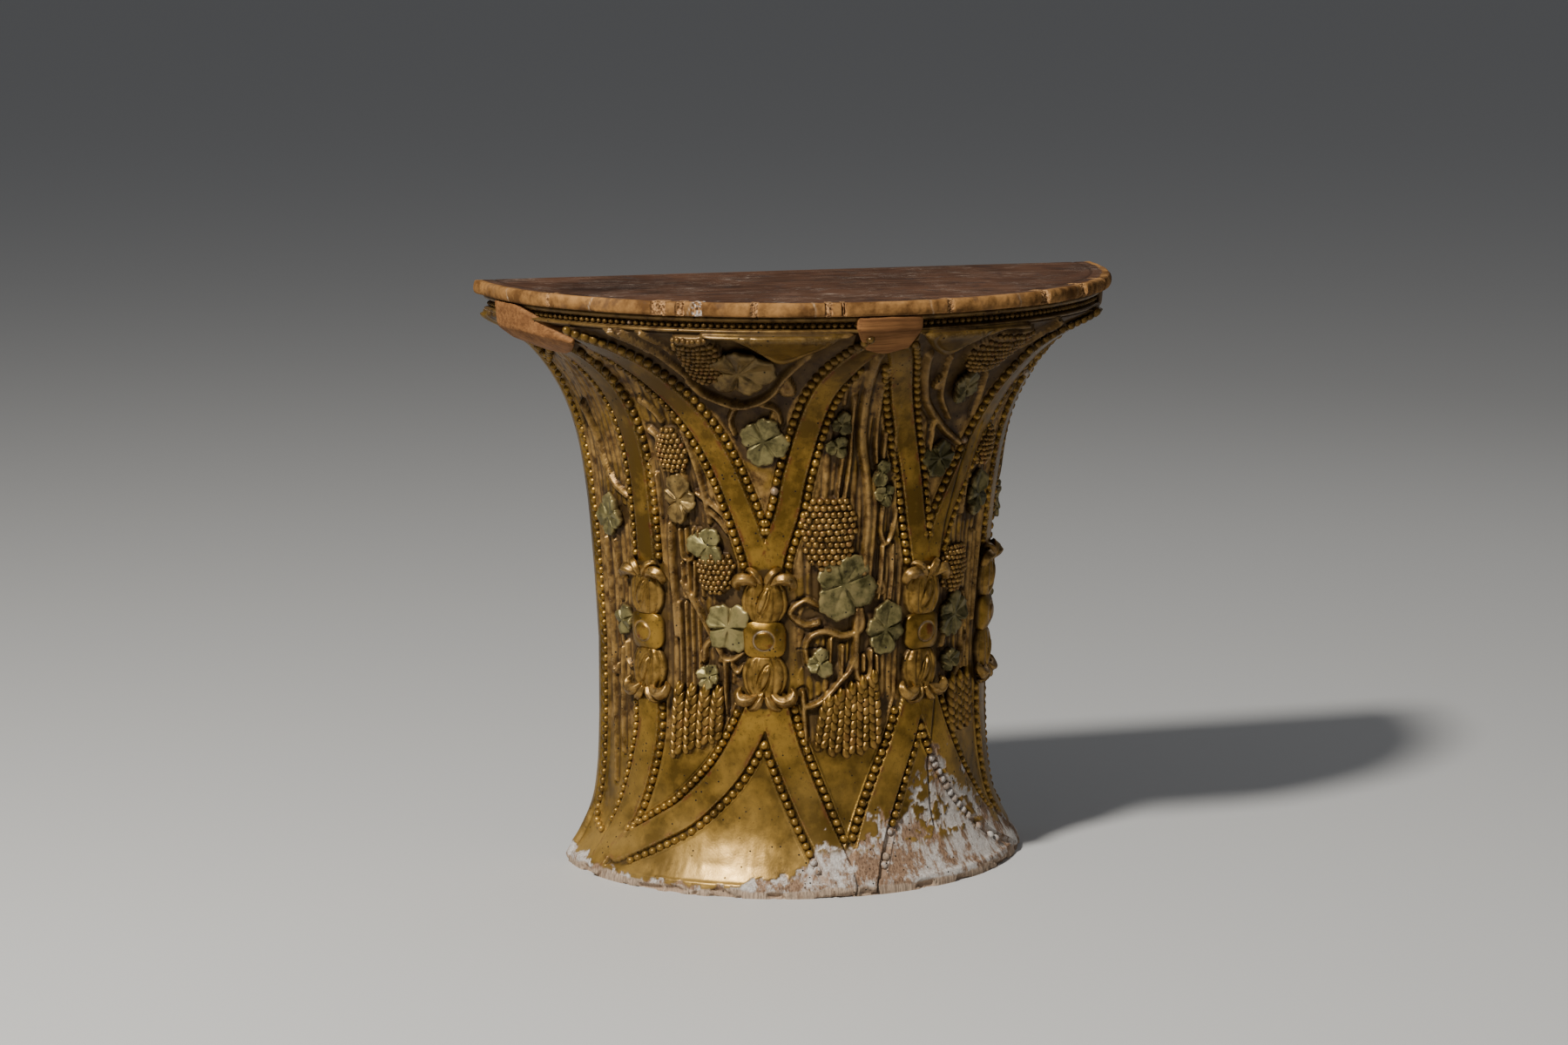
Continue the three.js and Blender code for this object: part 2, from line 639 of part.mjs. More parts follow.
function splitTriangle(a, b, c, middleOf, plan) {
  const corners = [a, b, c];
  const middles = corners.map((p, k) => middleOf(p, corners[(k + 1) % 3]));
  const cuts = middles.filter((m) => m !== null).length;
  if (cuts === 0) return [corners];
  if (cuts === 3) {
    const [ab, bc, ca] = middles;
    return [[a, ab, ca], [ab, b, bc], [ca, bc, c], [ab, bc, ca]];
  }
  const first = cuts === 1 ? middles.findIndex((m) => m !== null) : (middles.indexOf(null) + 1) % 3;
  const [p, q, r] = [0, 1, 2].map((k) => corners[(first + k) % 3]);
  const pq = middles[first];
  if (cuts === 1) return [[p, pq, r], [pq, q, r]];
  const qr = middles[(first + 1) % 3];
  const across = plan[p].distanceTo(plan[qr]) < plan[pq].distanceTo(plan[r]);
  const rest = across ? [[p, pq, qr], [p, qr, r]] : [[p, pq, r], [pq, qr, r]];
  return [[pq, q, qr], ...rest];
}

// The drum: a lathe-turned ring cut in half at the wall, with its bead moulding under the board.
function halfRing(profile, segments, ratio) {
  const closed = [...profile, profile[0]].map(([r, z]) => new THREE.Vector2(r, z));
  const geometry = new THREE.LatheGeometry(closed, segments);
  geometry.rotateX(Math.PI / 2);
  geometry.scale(1, ratio, 1);
  geometry.translate(0, WALL_PLANE, 0);
  return toSolid(geometry).intersect(frontOfWall());
}

function frontOfWall() {
  const reach = 4 * BOARD_RADIUS;
  const room = new THREE.BoxGeometry(reach, reach, 2 * HEIGHT + reach);
  room.translate(0, WALL_PLANE - reach / 2, HEIGHT / 2);
  return toSolid(room);
}

const HOLLOW_HEIGHTS = [762, 700, 600, 200, 70, 0];

// The bead moulding under the board: millimetres inwards from the lip, and height on the drawing.
const MOULDING = [[3, 745], [9, 746], [5, 750.5], [9, 755], [0, 756]];

function innerRadius(z) {
  const [waist] = TOP_FLARE[0];
  const followed = z < waist ? z : Math.max(waist, z - WALL);
  return bodyRadius(followed) - WALL;
}

function drum() {
  const outside = [0, 40, 80, 140, 260, 420, 540, 610, 655, 688, 710, 725, 734, 742];
  const under = (z) => (z < RIM_START ? -SKIN / 2 : RIM_PROUD);
  const profile = outside.map((z) => [bodyRadius(z) + under(z), z * HEIGHT_SCALE]);
  for (const [inwards, z] of MOULDING) profile.push([LIP_RADIUS - inwards, z * HEIGHT_SCALE]);
  profile.push([LIP_RADIUS, BODY_TOP]);
  for (const z of HOLLOW_HEIGHTS) {
    profile.push([innerRadius(z), Math.min(z * HEIGHT_SCALE, BODY_TOP)]);
  }
  return halfRing(profile, RING_SEGMENTS, DEPTH_RATIO);
}

// The repair blocks, grown by the clearance when they cut their own sockets.
function block(corners, grow) {
  const geometry = new ConvexGeometry(corners);
  const middle = new THREE.Box3().setFromPoints(corners).getCenter(new THREE.Vector3());
  const size = new THREE.Box3().setFromPoints(corners).getSize(new THREE.Vector3());
  const share = (length) => (length + 2 * grow) / length;
  geometry.translate(-middle.x, -middle.y, -middle.z);
  geometry.scale(share(size.x), share(size.y), share(size.z));
  geometry.translate(middle.x, middle.y, middle.z);
  return toSolid(geometry);
}

const leftBlockCorners = [
  ...[-80, -74, -67, -59].map((d) => atRadius(d, LIP_RADIUS + 9, BODY_TOP)),
  ...[-79, -72, -65, -61].map((d) => atRadius(d, LIP_RADIUS + 3, BODY_TOP - 24)),
  ...[-77.5, -70, -63.5].map((d) => onDrum(d, 706, 6)),
  ...[-78, -63].map((d) => onDrum(d, 716, -BLOCK_DEPTH)),
  ...[-80, -59].map((d) => atRadius(d, LIP_RADIUS - BLOCK_DEPTH, BODY_TOP)),
];

const centreBlockCorners = [
  ...[-4.6, 1.5, 7.2].map((d) => atRadius(d, LIP_RADIUS + 9, BODY_TOP)),
  ...[-4.6, 1.5, 7.2].map((d) => atRadius(d, LIP_RADIUS + 7, BODY_TOP - 18)),
  ...[-2.6, 6].map((d) => onDrum(d, 724, 9)),
  onDrum(2.3, 713, 7),
  onDrum(2.3, 716, -BLOCK_DEPTH / 2),
  ...[-4.6, 7.2].map((d) => atRadius(d, LIP_RADIUS - BLOCK_DEPTH, BODY_TOP)),
];

function atRadius(degrees, radius, z) {
  const angle = THREE.MathUtils.degToRad(degrees);
  const y = WALL_PLANE - DEPTH_RATIO * radius * Math.cos(angle);
  return new THREE.Vector3(radius * Math.sin(angle), y, z);
}

// The scroll that is left at the right-hand corner, carved on the body.
function rightScroll() {
  const corners = [
    ...[78, 62].map((d) => atRadius(d, LIP_RADIUS + 5, BODY_TOP)),
    ...[77, 63].map((d) => atRadius(d, LIP_RADIUS + 3, BODY_TOP - 22)),
    ...[75, 65].map((d) => onDrum(d, 712, 6)),
    ...[76, 64].map((d) => onDrum(d, 716, -BLOCK_DEPTH)),
    ...[78, 62].map((d) => atRadius(d, LIP_RADIUS - BLOCK_DEPTH, BODY_TOP)),
  ];
  return block(corners, 0);
}

function carvedBody() {
  const ground = new THREE.BoxGeometry(2 * SKIN_REACH * PLAN_DEGREE, SKIN_TOP + SKIN_SPARE, SKIN);
  ground.translate(0, (SKIN_TOP - SKIN_SPARE) / 2, -SKIN / 2);
  const carving = [
    toSolid(ground),
    ...ribbons.map(ribbon),
    ...[-1, 1].flatMap(wallEdge),
    ...leaves.map((entry) => leaf(...entry)),
    ...bunches.map((entry) => grapes(...entry)),
    ...wheat.map(([bottom, top]) => wheatEar(bottom, top, EAR_WIDTH)),
    ...stems.map(([width, path]) => stem(path, width)),
    ...lappets.map(lappet),
    ...bossPlaces.flatMap(boss),
    ...bossPlaces.flatMap(([d, z]) => [1, -1].map((way) => husk([d, z + way * BOSS_HALF_HEIGHT], way))),
  ];
  const room = new THREE.BoxGeometry(4 * BOARD_RADIUS, 4 * BOARD_RADIUS, BODY_TOP);
  room.translate(0, WALL_PLANE - 2 * BOARD_RADIUS, BODY_TOP / 2);
  const skin = bent(joined(carving).simplify(FLAT_TOLERANCE));
  let body = joined([drum(), skin, rightScroll()]).intersect(toSolid(room)).intersect(frontOfWall());
  body = body.simplify(JOINT_TOLERANCE);
  body = body.subtract(block(leftBlockCorners, CLEARANCE));
  body = body.subtract(block(centreBlockCorners, CLEARANCE));
  return largest(body.simplify(SOCKET_TOLERANCE));
}

// The piece that is left when the crumbs that a socket cuts off have fallen away.
function largest(solid) {
  return solid.decompose().reduce((best, piece) => (piece.volume() > best.volume() ? piece : best));
}

// The board, with a rounded edge and the chips broken out of it.
const chips = [
  { degrees: -35.5, width: 30, depth: 5 },
  { degrees: -8.5, width: 18, depth: 6 },
  { degrees: 33.5, width: 14, depth: 7 },
  { degrees: 47, width: 16, depth: 8 },
];

function topBoard() {
  const bottom = HEIGHT - BOARD_THICKNESS;
  const inset = BOARD_ROUNDING * 0.3;
  const profile = [
    [0, bottom], [BOARD_RADIUS - BOARD_ROUNDING, bottom], [BOARD_RADIUS - inset, bottom + inset],
    [BOARD_RADIUS, HEIGHT - BOARD_THICKNESS / 2], [BOARD_RADIUS - inset, HEIGHT - inset],
    [BOARD_RADIUS - BOARD_ROUNDING, HEIGHT], [0, HEIGHT],
  ];
  let board = halfRing(profile, BOARD_SEGMENTS, DEPTH_RATIO);
  for (const { degrees, width, depth } of chips) {
    const chip = new THREE.BoxGeometry(width, 2 * depth, BOARD_THICKNESS * 1.4);
    chip.rotateZ(THREE.MathUtils.degToRad(degrees));
    const place = atRadius(degrees, BOARD_RADIUS, bottom + BOARD_THICKNESS * 0.4);
    chip.translate(place.x, place.y, place.z);
    board = board.subtract(toSolid(chip));
  }
  return board;
}

const bracket = new THREE.Group();
bracket.add(
  toMesh(carvedBody(), "carved_body", 0x8c6d2c, 0.42, 0.6),
  toMesh(topBoard(), "top_board", 0x4f3c35, 0.6, 0),
  toMesh(block(leftBlockCorners, 0), "scroll_block_left", 0xa07a4c, 0.7, 0),
  toMesh(block(centreBlockCorners, 0), "scroll_block_centre", 0x9a6f3c, 0.7, 0),
);

export default bracket;
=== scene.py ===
# Half-round wall console bracket in carved, gilt softwood. The relief is drawn in millimetres on a
# plan of degrees round from the front and height, bent round the drum, and made in metres.
import math

import bmesh
import bpy
import numpy as np
from mathutils import Matrix, Vector


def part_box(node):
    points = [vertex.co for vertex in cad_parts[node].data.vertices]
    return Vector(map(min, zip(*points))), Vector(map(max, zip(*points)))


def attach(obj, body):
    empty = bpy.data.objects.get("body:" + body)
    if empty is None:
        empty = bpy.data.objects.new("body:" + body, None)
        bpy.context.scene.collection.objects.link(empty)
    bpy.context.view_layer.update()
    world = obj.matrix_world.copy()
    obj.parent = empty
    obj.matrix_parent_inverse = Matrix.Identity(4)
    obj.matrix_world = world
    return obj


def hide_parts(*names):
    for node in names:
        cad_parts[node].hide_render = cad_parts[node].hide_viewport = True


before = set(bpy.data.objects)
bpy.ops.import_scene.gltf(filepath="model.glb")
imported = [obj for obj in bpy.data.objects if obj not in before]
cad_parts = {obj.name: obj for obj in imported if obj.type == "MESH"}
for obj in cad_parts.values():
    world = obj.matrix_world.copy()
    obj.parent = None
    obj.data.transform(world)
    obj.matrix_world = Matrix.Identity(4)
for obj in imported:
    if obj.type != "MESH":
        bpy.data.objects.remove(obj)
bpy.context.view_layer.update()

# Driving dimensions in millimetres
MM = 0.001
BOARD_LOW, BOARD_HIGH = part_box("top_board")
_, BODY_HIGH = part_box("carved_body")
BOARD_RADIUS = BOARD_HIGH.x / MM
WALL_Y = BOARD_HIGH.y / MM
HEIGHT = BOARD_HIGH.z / MM
BOARD_BOTTOM = BOARD_LOW.z / MM
BODY_TOP = BODY_HIGH.z / MM
DEPTH_RATIO = (BOARD_HIGH.y - BOARD_LOW.y) / BOARD_HIGH.x
LIP_OVERHANG = 13.3
LIP_RADIUS = BOARD_RADIUS - LIP_OVERHANG
WAIST_RADIUS = 260
FOOT_RADIUS = 310
WALL = 42
LIP_HEIGHT = 742
RIBBON_RISE = 4.5
UPPER_HALF_WIDTH = 15
LOWER_HALF_WIDTH = 18.5
BEAD_PITCH = 11.8
BEAD_RADIUS = 5.5
BEAD_RISE = 6.6
BEAD_OFFSET = 6.2
STRING_WIDTH = 2 * BEAD_OFFSET
REED_PITCH = 10.2
REED_RISE = 4.9
FILLET_RISE = 2.2
LEAF_RISE = 6.5
BUNCH_SWELL = 8
BOSS_RISE = 15
BOSS_HALF_WIDTH = 28
BOSS_HALF_HEIGHT = 24
EYE_RADIUS = 13
HUSK_RISE = 15
HUSK_LENGTH = 60
HUSK_HALF_WIDTH = 30.5
POD_SLANT = 0.3
POD_HALF_WIDTH = 6.2
POD_HALF_LENGTH = 17
WALL_STRIP = 13
FLARE_DEPTH = 6
FIELD_DEPTH = 2.6
SOCKET_DEPTH = 12
GRAIN_PITCH = 12.5
GRAIN_RISE = 6.4
# A grain's width, length and rise, each with the least and greatest share of it
GRAIN_SIZES = ((10.6, 0.92, 1.05), (19, 0.92, 1.05), (GRAIN_RISE, 0.9, 1.1))
# The share of the beads that is lost where the gilding is
BEADS_LOST = 0.22

# Heights between which the reeds and the fields begin, the panels deepen, the carving grows softer on
# the flare, and the fillets beside the ribbons end
REED_START = (236, 262)
FIELD_START = (190, 250)
PANEL_START = (560, 690)
SOFT_START = (600, 690)
FILLET_END = (540, 640)

# The relief's grid: columns round the drum, rows up it, and the three pieces that it is cut into
COLUMNS = 541
ROWS = 505
SECTORS = 3
STAVES = 4
HOLLOW_ROWS = 9
# On the gilding, cavity darkens hollows and the feet of raised forms with dirt and painted shade, and crest
# lightens tops and edges with rubbed wear and painted highlight
MASKS = ("burnish", "cavity", "crest", "bole", "loss", "leaf", "tone", "dark")

FOOT_FLARE = [(0, 1), (12, 0.94), (40, 0.58), (80, 0.22), (130, 0.06), (200, 0)]
TOP_FLARE = [
    (300, 0), (400, 0.039), (500, 0.097), (580, 0.187), (640, 0.335), (690, 0.561), (715, 0.761),
    (734, 0.987), (742, 1), (762, 1),
]


def eased(table, x):
    """The table's value at x along a smooth curve through its points."""
    xs, ys = np.array(table, float).T
    x = np.clip(x, xs[0], xs[-1])
    i = np.clip(np.searchsorted(xs, x, side="left"), 1, len(xs) - 1)
    before, after = np.maximum(i - 2, 0), np.minimum(i + 1, len(xs) - 1)
    step = xs[i] - xs[i - 1]
    m0 = (ys[i] - ys[before]) / (xs[i] - xs[before]) * step
    m1 = (ys[after] - ys[i - 1]) / (xs[after] - xs[i - 1]) * step
    t = (x - xs[i - 1]) / step
    return (
        ys[i - 1] * (2 * t**3 - 3 * t**2 + 1) + m0 * (t**3 - 2 * t**2 + t)
        + ys[i] * (3 * t**2 - 2 * t**3) + m1 * (t**3 - t**2)
    )


def radius_at(z):
    foot = eased(FOOT_FLARE, z) * (FOOT_RADIUS - WAIST_RADIUS)
    top = eased(TOP_FLARE, z) * (LIP_RADIUS - WAIST_RADIUS)
    return WAIST_RADIUS + foot + top


def slope_at(z):
    return (radius_at(z + 1) - radius_at(z - 1)) / 2


def per_degree(z):
    """Millimetres round the drum for one degree."""
    return np.radians(radius_at(z))


def per_height(z):
    """Millimetres up the drum's surface for one of height."""
    return np.hypot(1, slope_at(z))


def on_drum(degrees, z, rise):
    angle = np.radians(degrees)
    tilt = slope_at(z)
    length = np.hypot(1, tilt)
    radius = radius_at(z) + rise / length
    y = np.minimum(WALL_Y - DEPTH_RATIO * radius * np.cos(angle), WALL_Y)
    height = np.maximum(z - rise * tilt / length, 0)
    return np.stack(np.broadcast_arrays(radius * np.sin(angle), y, height), -1) * MM


def around(place, a, b, c):
    """Points a across, b up and c out from a place on the drawing, bent round the drum."""
    degrees, z = place
    return on_drum(degrees + a / per_degree(z), z + b / per_height(z), c)


def at_radius(degrees, radius, z):
    angle = np.radians(degrees)
    y = WALL_Y - DEPTH_RATIO * radius * np.cos(angle)
    return np.stack(np.broadcast_arrays(radius * np.sin(angle), y, z), -1) * MM


def step_up(x, low=0.0, high=1.0):
    t = np.clip((x - low) / (high - low), 0, 1)
    return t * t * (3 - 2 * t)


def bell(x, width):
    return np.exp(-((x / width) ** 2))


def lengths_along(x, y):
    """The length of a path up to each of its points."""
    return np.concatenate([[0], np.cumsum(np.hypot(np.diff(x), np.diff(y)))])


# The grid itself, with rows spaced evenly along the drum's outline
FINE_Z = np.linspace(0, LIP_HEIGHT, 2000)
FINE_LENGTH = lengths_along(FINE_Z, radius_at(FINE_Z))
Z = np.interp(np.linspace(0, FINE_LENGTH[-1], ROWS), FINE_LENGTH, FINE_Z)
PHI = np.linspace(-90, 90, COLUMNS)
ACROSS, UP = per_degree(Z), per_height(Z)
PHI_GRID, Z_GRID, ACROSS_GRID = PHI[None, :], Z[:, None], ACROSS[:, None]
WHOLE = np.s_[:, :]
relief = np.zeros((ROWS, COLUMNS))
cover = np.zeros((ROWS, COLUMNS))
plain = np.ones((ROWS, COLUMNS))
mask = {name: np.zeros((ROWS, COLUMNS)) for name in MASKS}


def smooth_noise(cell, seed, stretch=1.0):
    """A soft random field over the grid from -1 to 1, with features about cell millimetres wide."""
    rows = int(FINE_LENGTH[-1] / (cell * stretch)) + 4
    columns = int(math.pi * WAIST_RADIUS / cell) + 4
    coarse = np.random.default_rng(seed).uniform(-1, 1, (rows, columns))
    y = np.linspace(0.5, rows - 2.5, ROWS)
    x = np.linspace(0.5, columns - 2.5, COLUMNS)
    i, j = y.astype(int), x.astype(int)
    fy = step_up(y - i)[:, None]
    fx = step_up(x - j)[None, :]
    low = coarse[i][:, j] * (1 - fx) + coarse[i][:, j + 1] * fx
    high = coarse[i + 1][:, j] * (1 - fx) + coarse[i + 1][:, j + 1] * fx
    return low * (1 - fy) + high * fy


def rough_noise(cell, seed, octaves=3):
    return sum(smooth_noise(cell / 2**k, seed + k) / 1.7**k for k in range(octaves)) / 1.6


def blurred(field, cells):
    """The field averaged over a square of cells each way."""
    for axis in (0, 1):
        pad = [(0, 0), (0, 0)]
        pad[axis] = (cells + 1, cells)
        total = np.cumsum(np.pad(field, pad, mode="edge"), axis=axis)
        size = field.shape[axis]
        high = np.take(total, np.arange(2 * cells + 1, 2 * cells + 1 + size), axis=axis)
        low = np.take(total, np.arange(size), axis=axis)
        field = (high - low) / (2 * cells + 1)
    return field


def spline(controls, steps=14):
    """Points along a smooth curve through the controls."""
    p = np.array(controls, float)
    p = np.vstack([2 * p[0] - p[1], p, 2 * p[-1] - p[-2]])
    t = np.linspace(0, 1, steps, endpoint=False)[:, None]
    parts = []
    for k in range(1, len(p) - 2):
        a, b, c, d = p[k - 1 : k + 3]
        bend = (2 * a - 5 * b + 4 * c - d) * t**2 + (3 * b - a - 3 * c + d) * t**3
        parts.append(0.5 * (2 * b + (c - a) * t + bend))
    return np.vstack([*parts, p[-2:-1]])


class Line:
    """A curve on the drawing, with its length along the drum's surface."""

    def __init__(self, controls):
        self.points = spline(controls)
        middle = (self.points[1:, 1] + self.points[:-1, 1]) / 2
        across = np.diff(self.points[:, 0]) * per_degree(middle)
        up = np.diff(self.points[:, 1]) * per_height(middle)
        self.reach = np.concatenate([[0], np.cumsum(np.hypot(across, up))])
        self.length = self.reach[-1]

    def place(self, distance):
        distance = np.clip(distance, 0, self.length)
        return np.stack([np.interp(distance, self.reach, self.points[:, k]) for k in (0, 1)])

    def at(self, distance, offset=0.0):
        """The place at a distance along the line and offset to its right, and the line's direction there."""
        degrees, z = self.place(distance)
        step = self.place(distance + 1) - self.place(distance - 1)
        across, up = step[0] * per_degree(z), step[1] * per_height(z)
        length = np.hypot(across, up)
        across, up = across / length, up / length
        turn = np.arctan2(across, up)
        return degrees + up * offset / per_degree(z), z - across * offset / per_height(z), turn


def measure(line, reach):
    """The part of the grid near a line, and there the distance, the side and the length along it.

    The side is 1 to the line's left and -1 to its right.
    """
    degrees, z = line.points.T
    margin = reach / ACROSS.min()
    c0, c1 = np.searchsorted(PHI, [degrees.min() - margin, degrees.max() + margin])
    r0, r1 = np.searchsorted(Z, [z.min() - reach, z.max() + reach])
    window = (slice(r0, r1), slice(c0, c1))
    shape = (r1 - r0, c1 - c0)
    far, side, along = np.full(shape, 1e6), np.zeros(shape), np.zeros(shape)
    zw, pw, mw, uw = Z[r0:r1], PHI[c0:c1], ACROSS[r0:r1], UP[r0:r1]
    for k in range(len(degrees) - 1):
        i0, i1 = np.searchsorted(zw, [min(z[k], z[k + 1]) - reach, max(z[k], z[k + 1]) + reach])
        j0, j1 = np.searchsorted(
            pw, [min(degrees[k], degrees[k + 1]) - margin, max(degrees[k], degrees[k + 1]) + margin]
        )
        if i0 == i1 or j0 == j1:
            continue
        here = (slice(i0, i1), slice(j0, j1))
        m, u = mw[i0:i1, None], uw[i0:i1, None]
        px, pz = (pw[None, j0:j1] - degrees[k]) * m, (zw[i0:i1, None] - z[k]) * u
        bx, bz = (degrees[k + 1] - degrees[k]) * m, (z[k + 1] - z[k]) * u
        t = np.clip((px * bx + pz * bz) / (bx * bx + bz * bz + 1e-9), 0, 1)
        distance = np.hypot(px - t * bx, pz - t * bz)
        closer = distance < far[here]
        far[here] = np.where(closer, distance, far[here])
        side[here] = np.where(closer, np.sign(bx * pz - bz * px), side[here])
        along[here] = np.where(closer, line.reach[k] + t * (line.reach[k + 1] - line.reach[k]), along[here])
    return window, far, side, along


def raise_to(height, window=WHOLE):
    """Raises the grid to a height above the drum, and leaves it where that height is nothing."""
    here = relief[window]
    relief[window] = np.where(height > 0.05, np.maximum(here, height), here)


def mark(name, value, window=WHOLE):
    mask[name][window] = np.maximum(mask[name][window], value)


def mirrored(path):
    return [(-degrees, z) for degrees, z in path]


# Ribbons with their bead strings: each string runs between the heights given, on the left or right
# of the way along the ribbon's path.
U, L = UPPER_HALF_WIDTH, LOWER_HALF_WIDTH
OUTER_UPPER = [(-59.3, 414), (-59.5, 500), (-60.3, 590), (-62.6, 655), (-66.5, 692), (-71, 712)]
OUTER_LOWER = [(-60.5, 250), (-60.8, 200), (-63.2, 150), (-66.5, 100), (-70.3, 50), (-72, 18)]
RIBBONS = [
    (U, OUTER_UPPER, (425, 690), (425, 705)),
    (
        U,
        [
            (-23.6, 414), (-25, 445), (-28.9, 500), (-33, 553), (-37.5, 600), (-44, 650), (-53, 700),
            (-64, 740),
        ],
        (425, 705), (470, 738),
    ),
    (
        U,
        [(-21.3, 414), (-20.2, 445), (-16.6, 500), (-14.5, 550), (-9, 650), (-3.3, 700), (2, 738)],
        (470, 738), (425, 695),
    ),
    (U, [(23.4, 414), (20.4, 475), (16.8, 550), (10.3, 650), (6.9, 700), (2, 738)], (425, 695), (458, 725)),
    (U, [(25.6, 414), (30.5, 485), (37, 550), (46.5, 650), (53, 700), (64, 740)], (458, 738), (425, 705)),
    (U, mirrored(OUTER_UPPER), (425, 705), (425, 690)),
    (L, OUTER_LOWER, (56, 240), (62, 240)),
    (L, [(-23.8, 250), (-28.5, 200), (-35, 150), (-45.2, 100), (-53, 75), (-66, 38)], (25, 198), (62, 240)),
    (L, [(-20.8, 250), (-18, 200), (-14, 150), (-9.6, 100), (-5.2, 50), (-2.5, 18)], (62, 240), (25, 198)),
    (L, [(22.5, 250), (18.8, 200), (14.2, 150), (9.5, 100), (4.9, 50), (2.5, 18)], (25, 210), (62, 240)),
    (L, [(26, 250), (30.7, 200), (36.7, 150), (44.7, 100), (54, 55), (65, 25)], (62, 240), (25, 210)),
    (L, mirrored(OUTER_LOWER), (62, 240), (56, 240)),
]
WALL_STRINGS = [[(-84.6, 70), (-84.6, 655), (-82, 682), (-76, 700)], [(-84.4, 72), (-81, 58), (-76.5, 52)]]
WALL_STRINGS += [mirrored(path) for path in WALL_STRINGS]


def carve_ribbon(half, path, left, right):
    """A flat ribbon with worn rims, and beside it the sunk channels for its bead strings."""
    window, far, side, _ = measure(Line(path), half + STRING_WIDTH + 6)
    z = Z_GRID[window[0]]
    inside = step_up(half - far, -0.6, 0.9)
    crown = RIBBON_RISE + 0.4 * (1 - (far / half) ** 2)
    rim = 0.6 * bell(far - (half - 1.6), 1.2)
    raise_to(inside * (crown + rim), window)
    mark("burnish", inside, window)
    mark("bole", inside * bell(far - (half - 3), 3.2), window)
    # Ribbons above 400 to 460 mm are toned darker: painted shade where the flare turns them down, away from
    # the light
    mask["tone"][window] = np.minimum(mask["tone"][window], -1.5 * inside * step_up(z, 400, 460))
    fillet = FILLET_RISE * (1 - step_up(z, *FILLET_END))
    for sign, span in ((1, left), (-1, right)):
        there = (side == sign) * step_up(z, span[0] - 8, span[0]) * step_up(-z, -span[1] - 8, -span[1])
        raise_to(there * fillet * bell(far - (half + STRING_WIDTH), 1.3), window)
        channel = there * bell(far - (half + BEAD_OFFSET), 4.5)
        relief[window] -= 1.2 * channel * step_up(3.2 - relief[window], 0, 1.6)
        # The bead channels are darkened: dirt and painted shade
        mark("cavity", channel * 0.7, window)


def string_places(line, offset, span, pitch):
    """Places for beads along a line, offset to its right, between two heights."""
    count = max(1, round(line.length / pitch))
    distance = (np.arange(count) + 0.5) * line.length / count
    degrees, z, turn = line.at(distance, offset)
    fits = (z > span[0]) & (z < span[1]) & (np.abs(degrees) < 89)
    return list(zip(degrees[fits], z[fits], turn[fits]))


